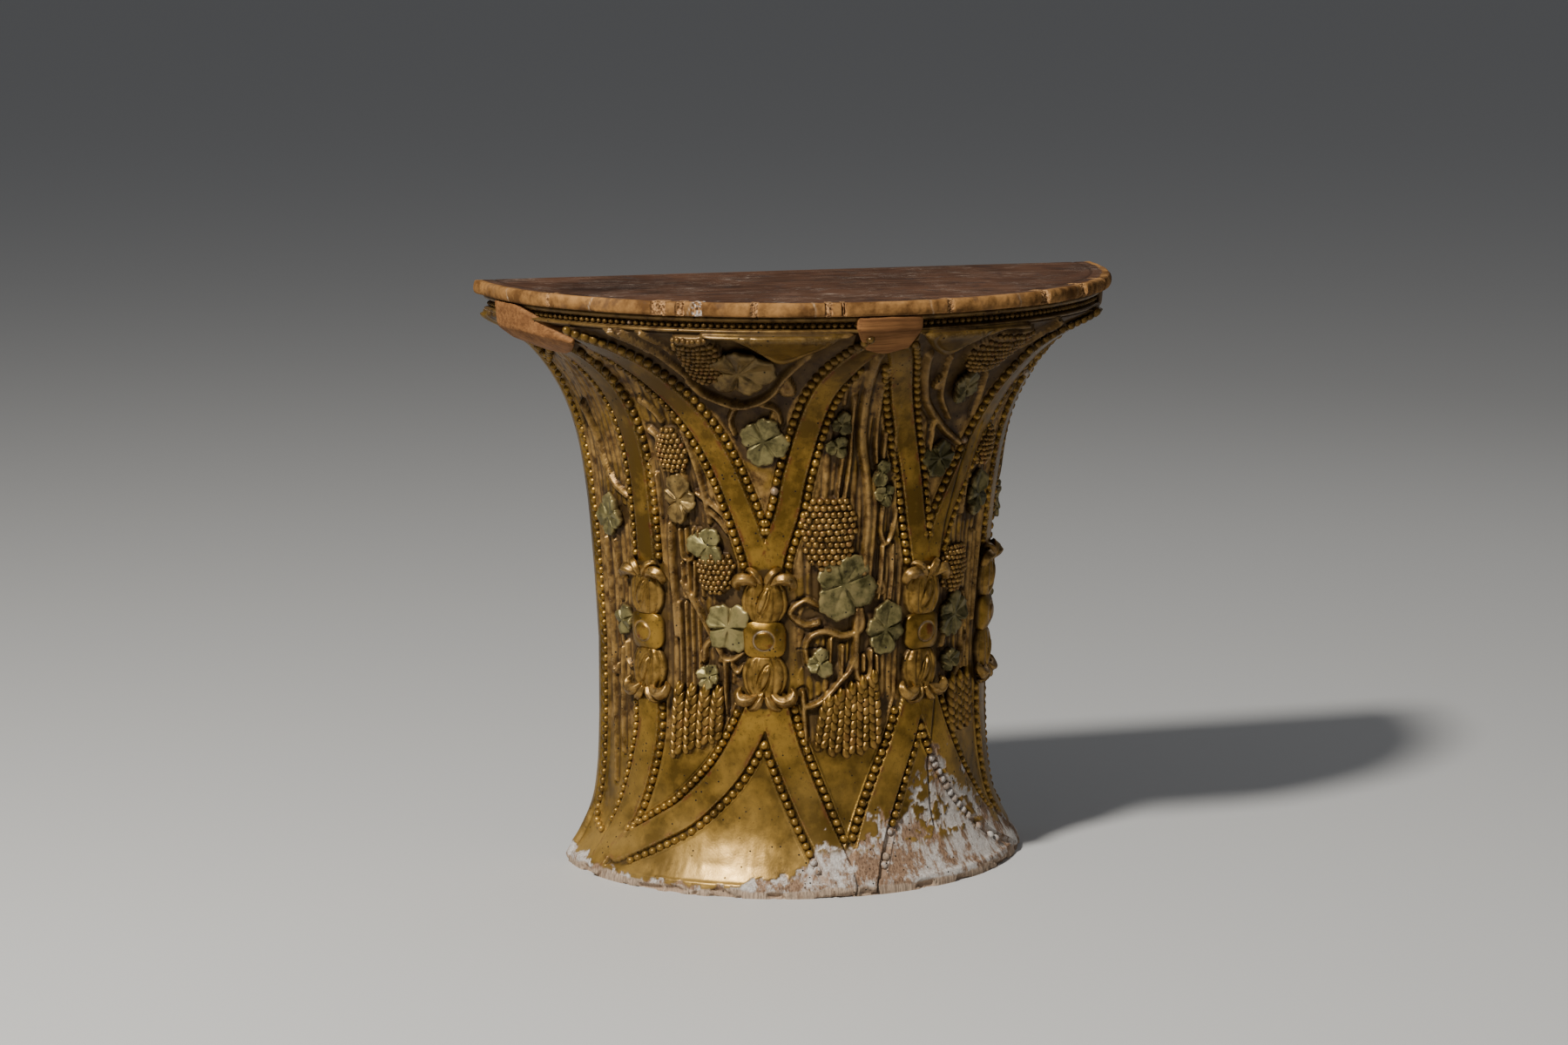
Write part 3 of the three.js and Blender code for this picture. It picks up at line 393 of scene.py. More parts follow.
# Stems, reeds, tendrils and stalks: width, height and places
STEMS = [
    (14, 6.5, [(1.5, 708), (2, 600), (4.2, 545), (5.4, 490), (4.6, 415)]),
    (7, 4.5, [(-1, 650), (-0.6, 560), (-1.5, 515)]),
    (6, 4, [(-3.6, 668), (-3.2, 640)]),
    (6, 4, [(-2.4, 575), (-3.2, 530), (-3.4, 512)]),
    (8, 5, [(8.4, 600), (8.6, 566)]),
    (7, 4.5, [(5, 690), (5.4, 640), (6, 590), (6.8, 560)]),
    (7, 4, [(10.6, 640), (11.4, 580), (12.8, 520), (13.4, 480)]),
    (9, 5, [(6.4, 540), (7.2, 500), (6.9, 450), (6.2, 400)]),
    (7, 5, [(9.5, 505), (9.2, 470), (11, 452), (13, 470), (13.6, 498)]),
    (6, 4, [(10.2, 448), (10, 410), (9.4, 380)]),
    (6, 4, [(13.2, 450), (13.4, 410), (13, 378)]),
    (9, 5, [(4.2, 366), (4.5, 342), (-1, 333), (-6, 340), (-9.6, 336), (-11.5, 322), (-11, 300)]),
    (10, 5.5, [(3, 366), (2.5, 300), (-2, 272), (-6, 252), (-9.5, 243), (-12, 245), (-12.4, 262)]),
    (8, 4.5, [(-12.4, 262), (-11.6, 215), (-11.2, 180)]),
    (8, 5, [(-8, 352), (-12, 350), (-16, 366), (-12, 382), (-8, 374)]),
    (8, 5, [(3.2, 310), (3.4, 282), (5.2, 272), (7.2, 282), (7.6, 312)]),
    (6, 4, [(5.4, 306), (5.5, 286)]),
    (6, 4, [(9.4, 304), (9.6, 280)]),
    (6, 4, [(-1, 320), (-1.2, 282)]),
    (6, 4, [(-4.4, 330), (-4.6, 300), (-5, 282)]),
    (6, 4, [(-47.2, 470), (-46.8, 436), (-45, 430), (-43.2, 437), (-43, 472)]),
    (6, 4, [(-45.2, 472), (-45.1, 440)]),
    (6, 4, [(-47, 426), (-46.6, 386), (-45, 381), (-43.4, 386), (-43, 428)]),
    (6, 4, [(-45.1, 426), (-45, 390)]),
    (7, 4, [(-41.5, 470), (-41.2, 430), (-40.6, 385)]),
    (5, 3.5, [(-48.4, 374), (-48.3, 262)]),
    (5, 3.5, [(-46.4, 374), (-46.3, 262)]),
    (5, 3.5, [(-44.4, 374), (-44.3, 262)]),
    (5, 3.5, [(-42.4, 366), (-42.2, 270)]),
    (10, 6, [(-50, 476), (-50.4, 430), (-50, 390), (-49.4, 330)]),
    (9, 6, [(-47, 402), (-42, 364), (-38, 330), (-34, 302), (-29, 313)]),
    (8, 5, [(-41, 300), (-40.4, 318), (-38, 328), (-35.6, 316), (-36, 300)]),
    (7, 4.5, [(-34.6, 300), (-34.4, 262), (-33.8, 232)]),
    (7, 4.5, [(-32.6, 296), (-30.8, 286), (-29.2, 296)]),
    (9, 5, [(-43.5, 602), (-41, 556), (-39.4, 520), (-38, 482)]),
    (8, 5, [(-46, 560), (-44.6, 540), (-44, 528)]),
    (7, 4, [(-41.4, 520), (-38, 508), (-34.6, 494), (-32, 478)]),
    (7, 4, [(-39, 500), (-35.6, 486), (-33.2, 470)]),
    (8, 4.5, [(-54, 640), (-51, 628), (-49, 612)]),
    (8, 4.5, [(-53.6, 600), (-51.4, 590), (-52.4, 574)]),
    (6, 4, [(-55, 560), (-54.8, 490)]),
    (6, 4, [(-53.4, 540), (-53, 486)]),
    (10, 5.5, [
        (-38.8, 672), (-36.6, 656), (-34, 648), (-28.5, 638), (-24, 642), (-20, 655), (-17, 678), (-12, 710),
    ]),
    (8, 4.5, [(-28.5, 640), (-30.6, 618), (-29.8, 600)]),
    (7, 4, [(-22.6, 640), (-19.4, 634), (-18.2, 616)]),
    (9, 5, [(-47.5, 742), (-43.6, 712), (-41.5, 694), (-38.8, 676)]),
    (7, 4, [(-43.4, 742), (-41, 722), (-39.8, 706)]),
    (7, 4, [(-50, 742), (-46.4, 720), (-44.6, 708)]),
    (9, 5, [(-31, 738), (-24, 736), (-18, 731), (-11, 736), (-5.5, 738)]),
    (12, 5.5, [(13, 705), (16, 660), (19, 632), (26, 598), (33, 576)]),
    (8, 4.5, [(19, 700), (20.5, 670), (22.5, 640), (27, 612)]),
    (8, 4.5, [(34, 670), (36, 640), (36, 612)]),
    (7, 4, [(22, 610), (22.6, 580), (22, 545)]),
    (8, 4.5, [(31, 736), (24, 737), (17, 724)]),
    (9, 5, [(40, 740), (42, 720), (39, 700)]),
    (11, 5.5, [(-78, 622), (-75.5, 575), (-74, 545), (-70.5, 520), (-65, 506)]),
    (7, 4, [(-79, 442), (-78, 380), (-78.4, 300), (-77, 180), (-76, 120)]),
    (7, 4, [(-73.5, 442), (-72.4, 400), (-72, 366)]),
    (7, 4.5, [(-70.4, 308), (-70, 286), (-67.6, 278), (-66, 292)]),
    (7, 4.5, [(-79, 280), (-77, 264), (-75, 276)]),
    (6, 4, [(-72.6, 300), (-73, 230), (-72.4, 160)]),
    (11, 5.5, [(78, 622), (75.5, 575), (74, 545), (70.5, 520), (65, 506)]),
    (7, 4, [(79, 442), (78, 380), (78.4, 300), (77, 180), (76, 120)]),
    (7, 4.5, [(70.4, 308), (70, 286), (67.6, 278), (66, 292)]),
    (6, 4, [(72.6, 300), (73, 230), (72.4, 160)]),
    (9, 5, [(28, 252), (31, 246), (35, 250), (41, 272), (45, 312)]),
    (8, 4.5, [(33, 306), (34, 322)]),
    (5, 3.5, [(43, 372), (43.4, 268)]),
    (5, 3.5, [(45.2, 450), (45.6, 268)]),
    (5, 3.5, [(47.4, 450), (47.8, 268)]),
    (9, 5, [(50, 476), (50.4, 430), (50, 390), (49.4, 330)]),
    (9, 5, [(41, 600), (39.5, 550), (38.5, 480)]),
    (8, 4.5, [(54, 640), (51, 628), (49, 612)]),
]


def carve_stem(width, rise, path):
    """A rounded stem that narrows along its path, creased if it is thick, with a cut on both sides."""
    line = Line(path)
    window, far, side, along = measure(line, width)
    half = width / 2 * (1.08 - 0.28 * along / line.length)
    body = 1.25 * rise * np.clip(1 - (far / half) ** 2, 0, 1) ** 0.7
    below_flare = step_up(700 - Z_GRID[window[0]], -10, 90)
    crease = 1.3 * bell(far * side - 0.28 * half, 1.5) * (width > 7.5) * below_flare
    relief[window] -= 2.2 * bell(far - half - 1.4, 1.9) * step_up(4.4 - relief[window], 0, 1.6) * below_flare
    raise_to((body > 0) * (body + 0.4 - crease), window)
    # The stem's top counts as a crest: rubbed wear and painted highlight
    mark("crest", 0.35 * step_up(body / rise, 0.8, 1), window)
    plain[window] = np.where(body > 0, np.minimum(plain[window], 0.25), plain[window])


# Leaves: middle, width, height, lobes and turn
LEAVES = [
    [(-26.7, 688), 92, 78, 5, 0.2], [(-22.5, 594), 68, 74, 4, 0.4], [(-3.6, 616), 30, 40, 3, 0.1],
    [(-4.2, 584), 34, 36, 3, 0.6], [(8, 548), 30, 38, 2, 0.2], [(9.6, 518), 32, 36, 3, 0.9],
    [(-1.2, 402), 88, 92, 4, 0.5], [(11.5, 340), 60, 72, 4, 0.2], [(-7.6, 299), 36, 46, 3, 0.3],
    [(-46.4, 510), 52, 68, 4, 0.1], [(-38.6, 452), 56, 54, 3, 0.5], [(-33, 346), 60, 74, 4, 0.7],
    [(-39.3, 279), 32, 38, 4, 0.4], [(-74, 475), 58, 62, 4, 0.1], [(-70.5, 338), 44, 46, 4, 0.3],
    [(28, 655), 42, 64, 4, 0.3], [(25.6, 560), 52, 54, 4, 0.1], [(45, 500), 50, 66, 4, 0.2],
    [(37, 346), 62, 66, 5, 0.2], [(36, 285), 42, 38, 4, 0.1], [(70.5, 338), 44, 46, 4, 0.1],
    [(74, 475), 58, 62, 4, 0.3],
]

# Bunches of grapes: degrees, heights, whether the narrow end is down, berry pitch
BUNCHES = [
    [(-38.5, -29), (670, 736), True, 6.6], [(-52, -43), (546, 606), False, 6.8],
    [(-42, -31.5), (388, 442), True, 6.8], [(-13, 2), (420, 516), True, 8.4],
    [(23, 37), (676, 730), True, 6.8], [(42, 50), (540, 592), False, 6.8], [(31, 42), (376, 438), True, 6.8],
]

# Ears of wheat: bottom and top
WHEAT = [
    *[[(d, 170 + 8 * k), (d + 1, 260)] for k, d in enumerate((-50, -45.7, -41.6, -37.6))],
    *[[(d, 186 - 10 * math.sin(math.pi * k / 4)), (d * 0.8 + 1, 250 + 7 * k)]
      for k, d in enumerate((-7.6, -3.6, 0.6, 4.7, 8.8))],
    *[[(d, 190), (d - 1, 258)] for d in (38.5, 42.5, 46.5)],
]
BOSSES = [(-60, 332), (-23, 332), (24, 332), (60, 332)]

# Smooth lappets that hang from the moulding: outline and rise. Teardrops: place, half width, half height.
LAPPETS = [
    ([(-30, 741), (-24, 727), (-18, 697), (-11.5, 716), (-6, 741)], 6.5),
    ([(6.5, 741), (12, 716), (17, 703), (21, 731), (29, 741)], 6.5),
]
TEARDROPS = [
    ((-16.5, 664), 9, 15), ((-20, 622), 6, 12), ((20, 664), 7, 14), ((10.2, 396), 7, 12), ((31, 560), 7, 12),
]


def bunch_half_width(share, width, narrow_bottom):
    from_tip = share if narrow_bottom else 1 - share
    return width / 2 * np.maximum(0.05, np.sin(np.pi * np.minimum(0.96, from_tip * 0.72 + 0.09))) ** 0.75


def carve_bunch(degrees, heights, narrow_bottom, _):
    """The swelling under a bunch's berries."""
    share = np.clip((Z_GRID - heights[0]) / (heights[1] - heights[0]), 0, 1)
    width = (degrees[1] - degrees[0]) * per_degree(sum(heights) / 2)
    across = (PHI_GRID - sum(degrees) / 2) * ACROSS_GRID / bunch_half_width(share, width, narrow_bottom)
    swell = BUNCH_SWELL * np.sqrt(np.clip(1 - across**2, 0, 1)) * (1 - (2 * share - 1) ** 8)
    raise_to(swell)
    # The swelling is darkened under the berries: dirt and painted shade
    mark("cavity", (swell > 0) * 0.9)


def carve_ear(bottom, top):
    """The spindle under an ear's grains."""
    line = Line([bottom, top])
    window, far, _, along = measure(line, 14)
    half = 8.5 * np.sqrt(np.clip(np.sin(np.pi * (along / line.length + 0.1) / 1.15), 0.1, 1))
    body = 5.5 * np.sqrt(np.clip(1 - (far / half) ** 2, 0, 1))
    raise_to(body, window)
    # The spindle is darkened under the grains: dirt and painted shade
    mark("cavity", (body > 0) * 0.9, window)


def carve_lappet(places, rise):
    outline = spline(places, 20)
    order = np.argsort(outline[:, 0])
    bottom = np.interp(PHI, outline[order, 0], outline[order, 1], left=900, right=900)
    above = (Z_GRID - bottom[None, :]) * UP[:, None]
    raise_to(rise * step_up(above, 0, 13) ** 0.5 - 1.6 * bell(above - 17, 3) * (above > 0))
    mark("burnish", 0.8 * step_up(above, 0, 3))


def offsets(degrees, z, half_width=1, half_height=1):
    """How far each grid point is across and up from a place, in shares of a form's half width and height."""
    return (PHI_GRID - degrees) * ACROSS_GRID / half_width, (Z_GRID - z) * UP[:, None] / half_height


def carve_teardrop(place, half_width, half_height):
    a, b = offsets(*place, half_width, half_height)
    reach = np.hypot(a * (1 + 0.5 * b), b)
    raise_to(4.5 * np.sqrt(np.clip(1 - reach**2, 0, 1)) - 3 * bell(np.hypot(a, b + 0.25), 0.4))


def cover_leaf(place, width, height, *_):
    """Where a leaf lies over the relief and shades it."""
    np.maximum(cover, LEAF_RISE * (np.hypot(*offsets(*place, width, height)) < 0.48), out=cover)


def cover_boss(degrees, z):
    """Where a boss and its two husks lie over the relief."""
    a, b = offsets(degrees, z)
    under = (np.abs(a) < 27 * np.sqrt(np.clip(1.15 - (b / 92) ** 2, 0, 1))) * (np.abs(b) < 88)
    np.maximum(cover, BOSS_RISE * under, out=cover)


def field_edge(number):
    """Degrees of a ribbon's middle at each row, for an upper ribbon together with the lower one below it."""
    upper, lower = (Line(RIBBONS[k][1]).points for k in (number, number + len(RIBBONS) // 2))
    points = np.vstack([lower[::-1], upper])
    order = np.argsort(points[:, 1])
    return np.interp(Z, points[order, 1], points[order, 0])


def between(left, right):
    """How far inside two ribbons each grid point is, in millimetres, or less than nothing outside."""
    inside = np.minimum(PHI_GRID - field_edge(left)[:, None], field_edge(right)[:, None] - PHI_GRID)
    return inside * ACROSS_GRID - UPPER_HALF_WIDTH - STRING_WIDTH


def beside_wall():
    """The same for the two panels between the wall strips and the outer ribbons."""
    left = np.minimum(PHI_GRID + 90, field_edge(0)[:, None] - PHI_GRID)
    right = np.minimum(90 - PHI_GRID, PHI_GRID - field_edge(5)[:, None])
    return np.maximum(left, right) * ACROSS_GRID - (WALL_STRIP - 1 + STRING_WIDTH)


# Bare height of the lost gilding at degrees round the foot
LOSS_LINE = [
    (-90, 22), (-60, 10), (-30, 12), (-22, 28), (-12, 35), (-8, 62), (0, 70), (6, 85), (10, 100), (14, 80),
    (18, 95), (25, 112), (29, 165), (33, 150), (40, 120), (50, 85), (60, 60), (68, 45), (80, 38), (90, 30),
]
CRACKS = [
    [(30, 236), (29, 200), (28, 165), (28, 120), (28, 70)],
    [(30, 430), (31, 470), (32.5, 500), (35, 550), (38, 600)],
    [(0, 0), (0.4, 12), (0.1, 24)], [(6, 0), (5.6, 10), (6.2, 20)], [(-31, 320), (-26, 320.5)],
    [(-14, 318), (-9, 319), (-6, 318.5)], [(-33, 300), (-33.6, 250), (-33, 215)],
]


def loss_height(degrees):
    return np.interp(degrees, *np.array(LOSS_LINE, float).T)


def matte_zone(panel, upward):
    """Marks where the ground is ochre and matte, with burnished patches left in it."""
    zone = step_up(panel, -6, 1) * upward
    patches = 0.7 * step_up(rough_noise(55, 33, 3), 0.2, 0.4)
    plain[:] = np.minimum(plain, 1 - zone * (1 - patches))


def carve_ground():
    """Hand-cut ground: soft waves, upright reeds, and the deep panels under the moulding."""
    relief[:] += 0.3 * smooth_noise(16, 3) + 0.2 * smooth_noise(5, 9, stretch=5)
    for left, right in ((1, 2), (3, 4)):
        panel = between(left, right)
        relief[:] -= FLARE_DEPTH * step_up(panel, -4, 16) * step_up(Z_GRID, *PANEL_START)
        matte_zone(panel, step_up(Z_GRID, 470, 500))
    leaning = PHI_GRID + 1.1 * smooth_noise(70, 71, 3) + 0.25 * smooth_noise(20, 75, 3)
    strand = leaning * np.radians(WAIST_RADIUS) / REED_PITCH
    reed = np.abs(np.sin(np.pi * strand)) ** 0.6
    height = np.random.default_rng(17).uniform(0.55, 1.1, 400)[(np.floor(strand).astype(int) + 200) % 400]
    gaps = step_up(rough_noise(60, 81, 2), -0.42, -0.34)
    for panel in (between(0, 1), between(2, 3), between(4, 5), beside_wall()):
        relief[:] -= FIELD_DEPTH * step_up(panel, -4, 12) * step_up(Z_GRID, *FIELD_START)
        where = step_up(panel, 1, 5) * step_up(Z_GRID, *REED_START) * gaps
        relief[:] += where * (REED_RISE * reed * height - 0.8)
        matte_zone(panel, step_up(Z_GRID, 160, 215))
    stipple = np.random.default_rng(5).uniform(0, 1, relief.shape) * step_up(between(1, 2), 2, 8)
    relief[:] -= 0.7 * stipple * bell(Z_GRID - 655, 30) * step_up(rough_noise(40, 91, 2), -0.2, 0)


def carve_edges():
    """The plain strip at each end by the wall, the fillet beside it, and the one round the foot."""
    for sign in (-1, 1):
        inward = (90 - sign * PHI_GRID) * ACROSS_GRID
        strip = step_up(WALL_STRIP - inward, 0, 1.5)
        raise_to(4.5 * strip * step_up(Z_GRID, 2, 6))
        mark("burnish", strip)
        raise_to(FILLET_RISE * ((inward > 30) & (inward < 34) & (Z_GRID > 70) & (Z_GRID < 655)))
    raise_to(2.4 * bell(Z_GRID - 15, 2.2) + 1.5 * step_up(14 - Z_GRID, 0, 3))


# Degrees and bottom of the sockets of the two repair blocks and the corner scroll
SOCKETS = [(-79.5, -58.5, 713), (-4.4, 7, 722), (62.5, 77.5, 716)]


def clear_sockets():
    """Sinks the drum's surface where the repair blocks and the corner scroll sit in it."""
    for low, high, bottom in SOCKETS:
        inside = np.minimum(PHI_GRID - low, high - PHI_GRID) * ACROSS_GRID
        deep = step_up(inside, 0, 2) * step_up(Z_GRID, bottom, bottom + 3)
        relief[:] = relief * (1 - deep) - SOCKET_DEPTH * deep


def wear():
    """Lost gilding at the foot, a chipped lower edge, cracks and the marks that dirt and rubbing leave."""
    ragged = loss_height(PHI)[None, :] * (1 + 0.45 * rough_noise(34, 21, 4)) + 9 * rough_noise(9, 27)
    loss = step_up(ragged - Z_GRID, -1.5, 1.5)
    flakes = step_up(rough_noise(9, 51, 3) + 0.6 * rough_noise(24, 57, 2), 0.16, 0.26)
    flakes = flakes * step_up(Z_GRID, 46, 60)
    loss = np.clip(loss - flakes * step_up(Z_GRID, 20, 60) * loss, 0, 1)
    base = step_up(11 + 5 * rough_noise(22, 31) - Z_GRID, 0, 2)
    mask["loss"] = np.maximum(loss, base)
    dull = -1.6 * step_up(rough_noise(105, 97, 3), 0, 0.5)
    mask["tone"] = np.where(base > 0.01, base, np.minimum(mask["tone"], dull))
    relief[:] -= 0.9 * mask["loss"] + 0.5 * mask["loss"] * np.clip(rough_noise(12, 61), 0, 1)
    broken = step_up(rough_noise(26, 41, 4), -0.05, 0.35)
    relief[:] -= 6 * broken * step_up(9 + 5 * smooth_noise(18, 44) - Z_GRID, -1, 5)
    for path in CRACKS:
        window, far, _, _ = measure(Line(path), 5)
        relief[window] -= 2.4 * bell(far, 1.15)
        mark("dark", bell(far, 1.2), window)
    relief[:2] = np.minimum(relief[:2], 0)


def dirt():
    """Dirt and painted shade where the surface lies lower than what is near it, and rubbed wear with painted
    highlight on crests where it stands higher.
    """
    full = np.maximum(relief, cover)
    near, wide = blurred(full, 3), blurred(blurred(full, 8), 5)
    sunk = np.maximum(mask["cavity"] * 0.7, step_up(near - relief, 0.5, 3.2))
    mask["cavity"] = np.clip(sunk + 0.8 * step_up(wide - relief, 0.6, 4.5), 0, 1)
    mask["crest"] = np.clip(mask["crest"] + step_up(relief - near, 0.35, 1.8), 0, 1)
    mask["burnish"] = np.maximum(mask["burnish"], plain)


def carve_all(carver, rows):
    for row in rows:
        carver(*row)


def carve():
    carve_ground()
    carve_edges()
    carve_all(carve_stem, STEMS)
    softened = blurred(relief, 1)
    flare = step_up(Z_GRID, *SOFT_START)
    relief[:] = 0.4 * relief + 0.6 * softened
    relief[:] = relief * (1 - flare) + blurred(softened, 1) * flare
    carve_all(carve_ribbon, RIBBONS)
    carve_all(carve_bunch, BUNCHES)
    carve_all(carve_ear, WHEAT)
    carve_all(carve_lappet, LAPPETS)
    carve_all(carve_teardrop, TEARDROPS)
    carve_all(cover_leaf, LEAVES)
    carve_all(cover_boss, BOSSES)
    wear()
    clear_sockets()
    relief[-3:] = np.minimum(relief[-3:], 0)
    dirt()


class Batch:
    """Points, faces and masks of many small carvings that become one mesh."""

    def __init__(self):
        self.points, self.faces, self.masks, self.count = [], [], [], 0

    def add(self, points, faces, **masks):
        points = np.asarray(points, float).reshape(-1, 3)
        table = np.zeros((len(points), len(MASKS)), np.float32)
        for name, value in masks.items():
            table[:, MASKS.index(name)] = value
        self.faces += [[k + self.count for k in face] for face in faces]
        self.points.append(points)
        self.masks.append(table)
        self.count += len(points)

    def make(self, name, material, slot, nodes=()):
        mesh = bpy.data.meshes.new(name)
        mesh.from_pydata(np.vstack(self.points).tolist(), [], self.faces)
        for title, values in zip(MASKS, np.ascontiguousarray(np.vstack(self.masks).T)):
            mesh.attributes.new(title, "FLOAT", "POINT").data.foreach_set("value", values)
        mesh.materials.append(material)
        mesh.polygons.foreach_set("use_smooth", np.full(len(self.faces), True))
        mesh.update()
        return settle(bpy.data.objects.new(name, mesh), nodes)


def settle(piece, nodes=()):
    bpy.context.scene.collection.objects.link(piece)
    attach(piece, "root")
    if nodes:
        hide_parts(*nodes)
    return piece


def grid_faces(rows, columns, wrap=False, start=0):
    faces = []
    for i in range(rows - 1):
        for j in range(columns - (0 if wrap else 1)):
            k = (j + 1) % columns
            a, b = start + i * columns + j, start + i * columns + k
            faces.append((a, b, b + columns, a + columns))
    return faces


def inner_radius(z):
    waist = TOP_FLARE[0][0]
    return radius_at(np.where(z < waist, z, np.maximum(waist, z - WALL))) - WALL


def shell_sector(number, gilt, wood):
    """One third of the drum: the carved outside, its staved inside, and flat faces at its rims."""
    width = (COLUMNS - 1) // SECTORS
    cut = np.s_[:, number * width : (number + 1) * width + 1]
    degrees = PHI_GRID[cut][0]
    batch = Batch()
    masks = {title: mask[title][cut].ravel() for title in MASKS}
    batch.add(GRID_POINTS[cut], grid_faces(ROWS, width + 1), **masks)
    outer_faces = len(batch.faces)
    outer = np.arange(batch.count).reshape(ROWS, width + 1)
    staves = np.linspace(degrees[0], degrees[-1], STAVES + 1)[None, :]
    heights = np.linspace(0, LIP_HEIGHT, HOLLOW_ROWS)[:, None]
    inner = batch.count + np.arange(heights.size * staves.size).reshape(heights.size, staves.size)
    batch.faces += [face[::-1] for face in grid_faces(*inner.shape, start=batch.count)]
    batch.add(at_radius(staves, inner_radius(heights), heights), [], tone=0.5)
    rims = (
        (outer[0, ::-1], inner[0]), (outer[-1], inner[-1, ::-1]),
        (outer[:, 0], inner[::-1, 0]), (outer[::-1, -1], inner[:, -1]),
    )
    batch.faces += [np.concatenate(rim).tolist() for rim in rims]
    name = ("carved_drum_left", "carved_drum_front", "carved_drum_right")[number]
    piece = batch.make(name, gilt, "gilt_carving", ["carved_body"])
    piece.data.materials.append(wood)
    outside = np.arange(len(batch.faces)) < outer_faces
    piece.data.polygons.foreach_set("material_index", np.where(outside, 0, 1).astype(np.int32))
    piece.data.polygons.foreach_set("use_smooth", outside)
    index = np.zeros(len(piece.data.loops), np.int32)
    piece.data.loops.foreach_get("vertex_index", index)
    loops = np.zeros((len(index), 3))
    loops[: outer_faces * 4] = GRID_NORMALS[cut].reshape(-1, 3)[index[: outer_faces * 4]]
    piece.data.normals_split_custom_set(loops.tolist())


def grid_normals(points):
    normals = np.cross(np.gradient(points, axis=1), np.gradient(points, axis=0))
    return normals / np.linalg.norm(normals, axis=-1, keepdims=True)


# Small carved forms, in millimetres across, up and out
def capped(middle, a, b, c):
    """A form of rings, one to a row, with a point in the middle of the first and a face under the last."""
    rings, segments = c.shape
    faces = [(0, 1 + (k + 1) % segments, 1 + k) for k in range(segments)]
    faces += grid_faces(rings, segments, wrap=True, start=1)
    faces.append(range(1 + (rings - 1) * segments, 1 + rings * segments))
    a, b, c = (np.append(first, rows) for first, rows in ((0, a), (0, b), (middle, c)))
    return a, b, c, faces


def circle(count):
    return np.arange(count) * 2 * np.pi / count


def quarter(rings):
    """Angles down from the top of a low dome, one to a ring."""
    return np.linspace(0, np.pi / 2, rings + 1)[1:]


def dome(radius, length, rise, segments=10, rings=3, foot=-1.5, power=1.0):
    theta, angle = quarter(rings), circle(segments)
    ring = np.append(np.sin(theta) ** power, 1)
    c = np.repeat(np.append(rise * np.cos(theta), foot)[:, None], segments, 1)
    return capped(rise, np.outer(ring, radius * np.sin(angle)), np.outer(ring, length * np.cos(angle)), c)


def turned(a, b, turn):
    """Turns a form clockwise by an angle."""
    return a * math.cos(turn) + b * math.sin(turn), b * math.cos(turn) - a * math.sin(turn)


def add_form(batch, place, form, turn=0.0, lift=0.0, **masks):
    a, b, c, faces = form
    a, b = turned(a, b, turn)
    batch.add(around(place, a, b, c + lift), faces, **masks)


def beads(rng, gilt):
    upper, lower = Batch(), Batch()
    places = []
    for half, path, left, right in RIBBONS:
        line = Line(path)
        for sign, span in ((-1, left), (1, right)):
            places += string_places(line, sign * (half + BEAD_OFFSET), span, BEAD_PITCH)
    for path in WALL_STRINGS:
        places += string_places(Line(path), 0, (40, 710), BEAD_PITCH)
    for degrees, z, turn in places:
        worn = z < loss_height(degrees) - 4
        if worn and rng.random() < BEADS_LOST:
            continue
        grow = rng.uniform(0.93, 1.04)
        rise = BEAD_RISE * rng.uniform(0.92, 1.06) * (0.72 if worn else 1)
        form = dome(BEAD_RADIUS * grow, BEAD_RADIUS * 1.06 * rng.uniform(0.95, 1.04), rise, power=0.8)
        share = form[2] / rise
        bald = 1.0 if worn else 0.55 * (rng.random() < 0.01)
        place = (degrees + rng.uniform(-0.07, 0.07), z + rng.uniform(-0.4, 0.4))
        batch = upper if z > BOSSES[0][1] else lower
        # Each bead darkens towards its foot with dirt and painted shade, and its top is lightened with
        # rubbed wear and painted highlight
        add_form(
            batch, place, form, turn, 0.2 - (0.8 if worn else 0), burnish=0.75,
            cavity=0.8 * (1 - step_up(share, -0.1, 0.34)), crest=step_up(share, 0.9, 1), loss=bald,
            tone=rng.uniform(-1, 1),
        )
    upper.make("ribbon_beads_upper", gilt, "gilt_carving")
    lower.make("ribbon_beads_lower", gilt, "gilt_carving")


def grapes(rng, gilt):
    batch = Batch()
    for degrees, heights, narrow_bottom, pitch in BUNCHES:
        middle = sum(degrees) / 2
        width = (degrees[1] - degrees[0]) * per_degree(sum(heights) / 2)
        rows = round((heights[1] - heights[0]) / (pitch * 0.94))
        for row in range(rows):
            share = (row + 0.5) / rows
            z = heights[0] + share * (heights[1] - heights[0])
            half = float(bunch_half_width(np.array(share), width, narrow_bottom))
            count = int(half / pitch) + 1
            for k in range(-count, count + 1):
                across = (k + 0.5 * (row % 2)) * pitch / half
                if abs(across) > 1:
                    continue
                swell = BUNCH_SWELL * math.sqrt(1 - across**2) * (1 - (2 * share - 1) ** 8)
                radius = pitch * 0.55 * rng.uniform(0.9, 1.1)
                form = dome(radius, radius, radius * 1.1, foot=-2.5, power=0.85)
                up = form[2] / radius
                aside = (across * half + rng.uniform(-0.9, 0.9)) / per_degree(z)
                place = (middle + aside, z + rng.uniform(-0.8, 0.8))
                # Berries darken towards their feet with dirt and painted shade, and their tops are lightened
                # with rubbed wear and painted highlight
                low = 0.85 * (1 - step_up(up, 0.1, 0.5))
                add_form(
                    batch, place, form, lift=swell + 0.3, burnish=0.3, cavity=low, bole=rng.random() ** 2,
                    crest=step_up(up, 0.9, 1), tone=rng.uniform(-1, 1),
                )
    batch.make("grape_bunches", gilt, "gilt_carving")


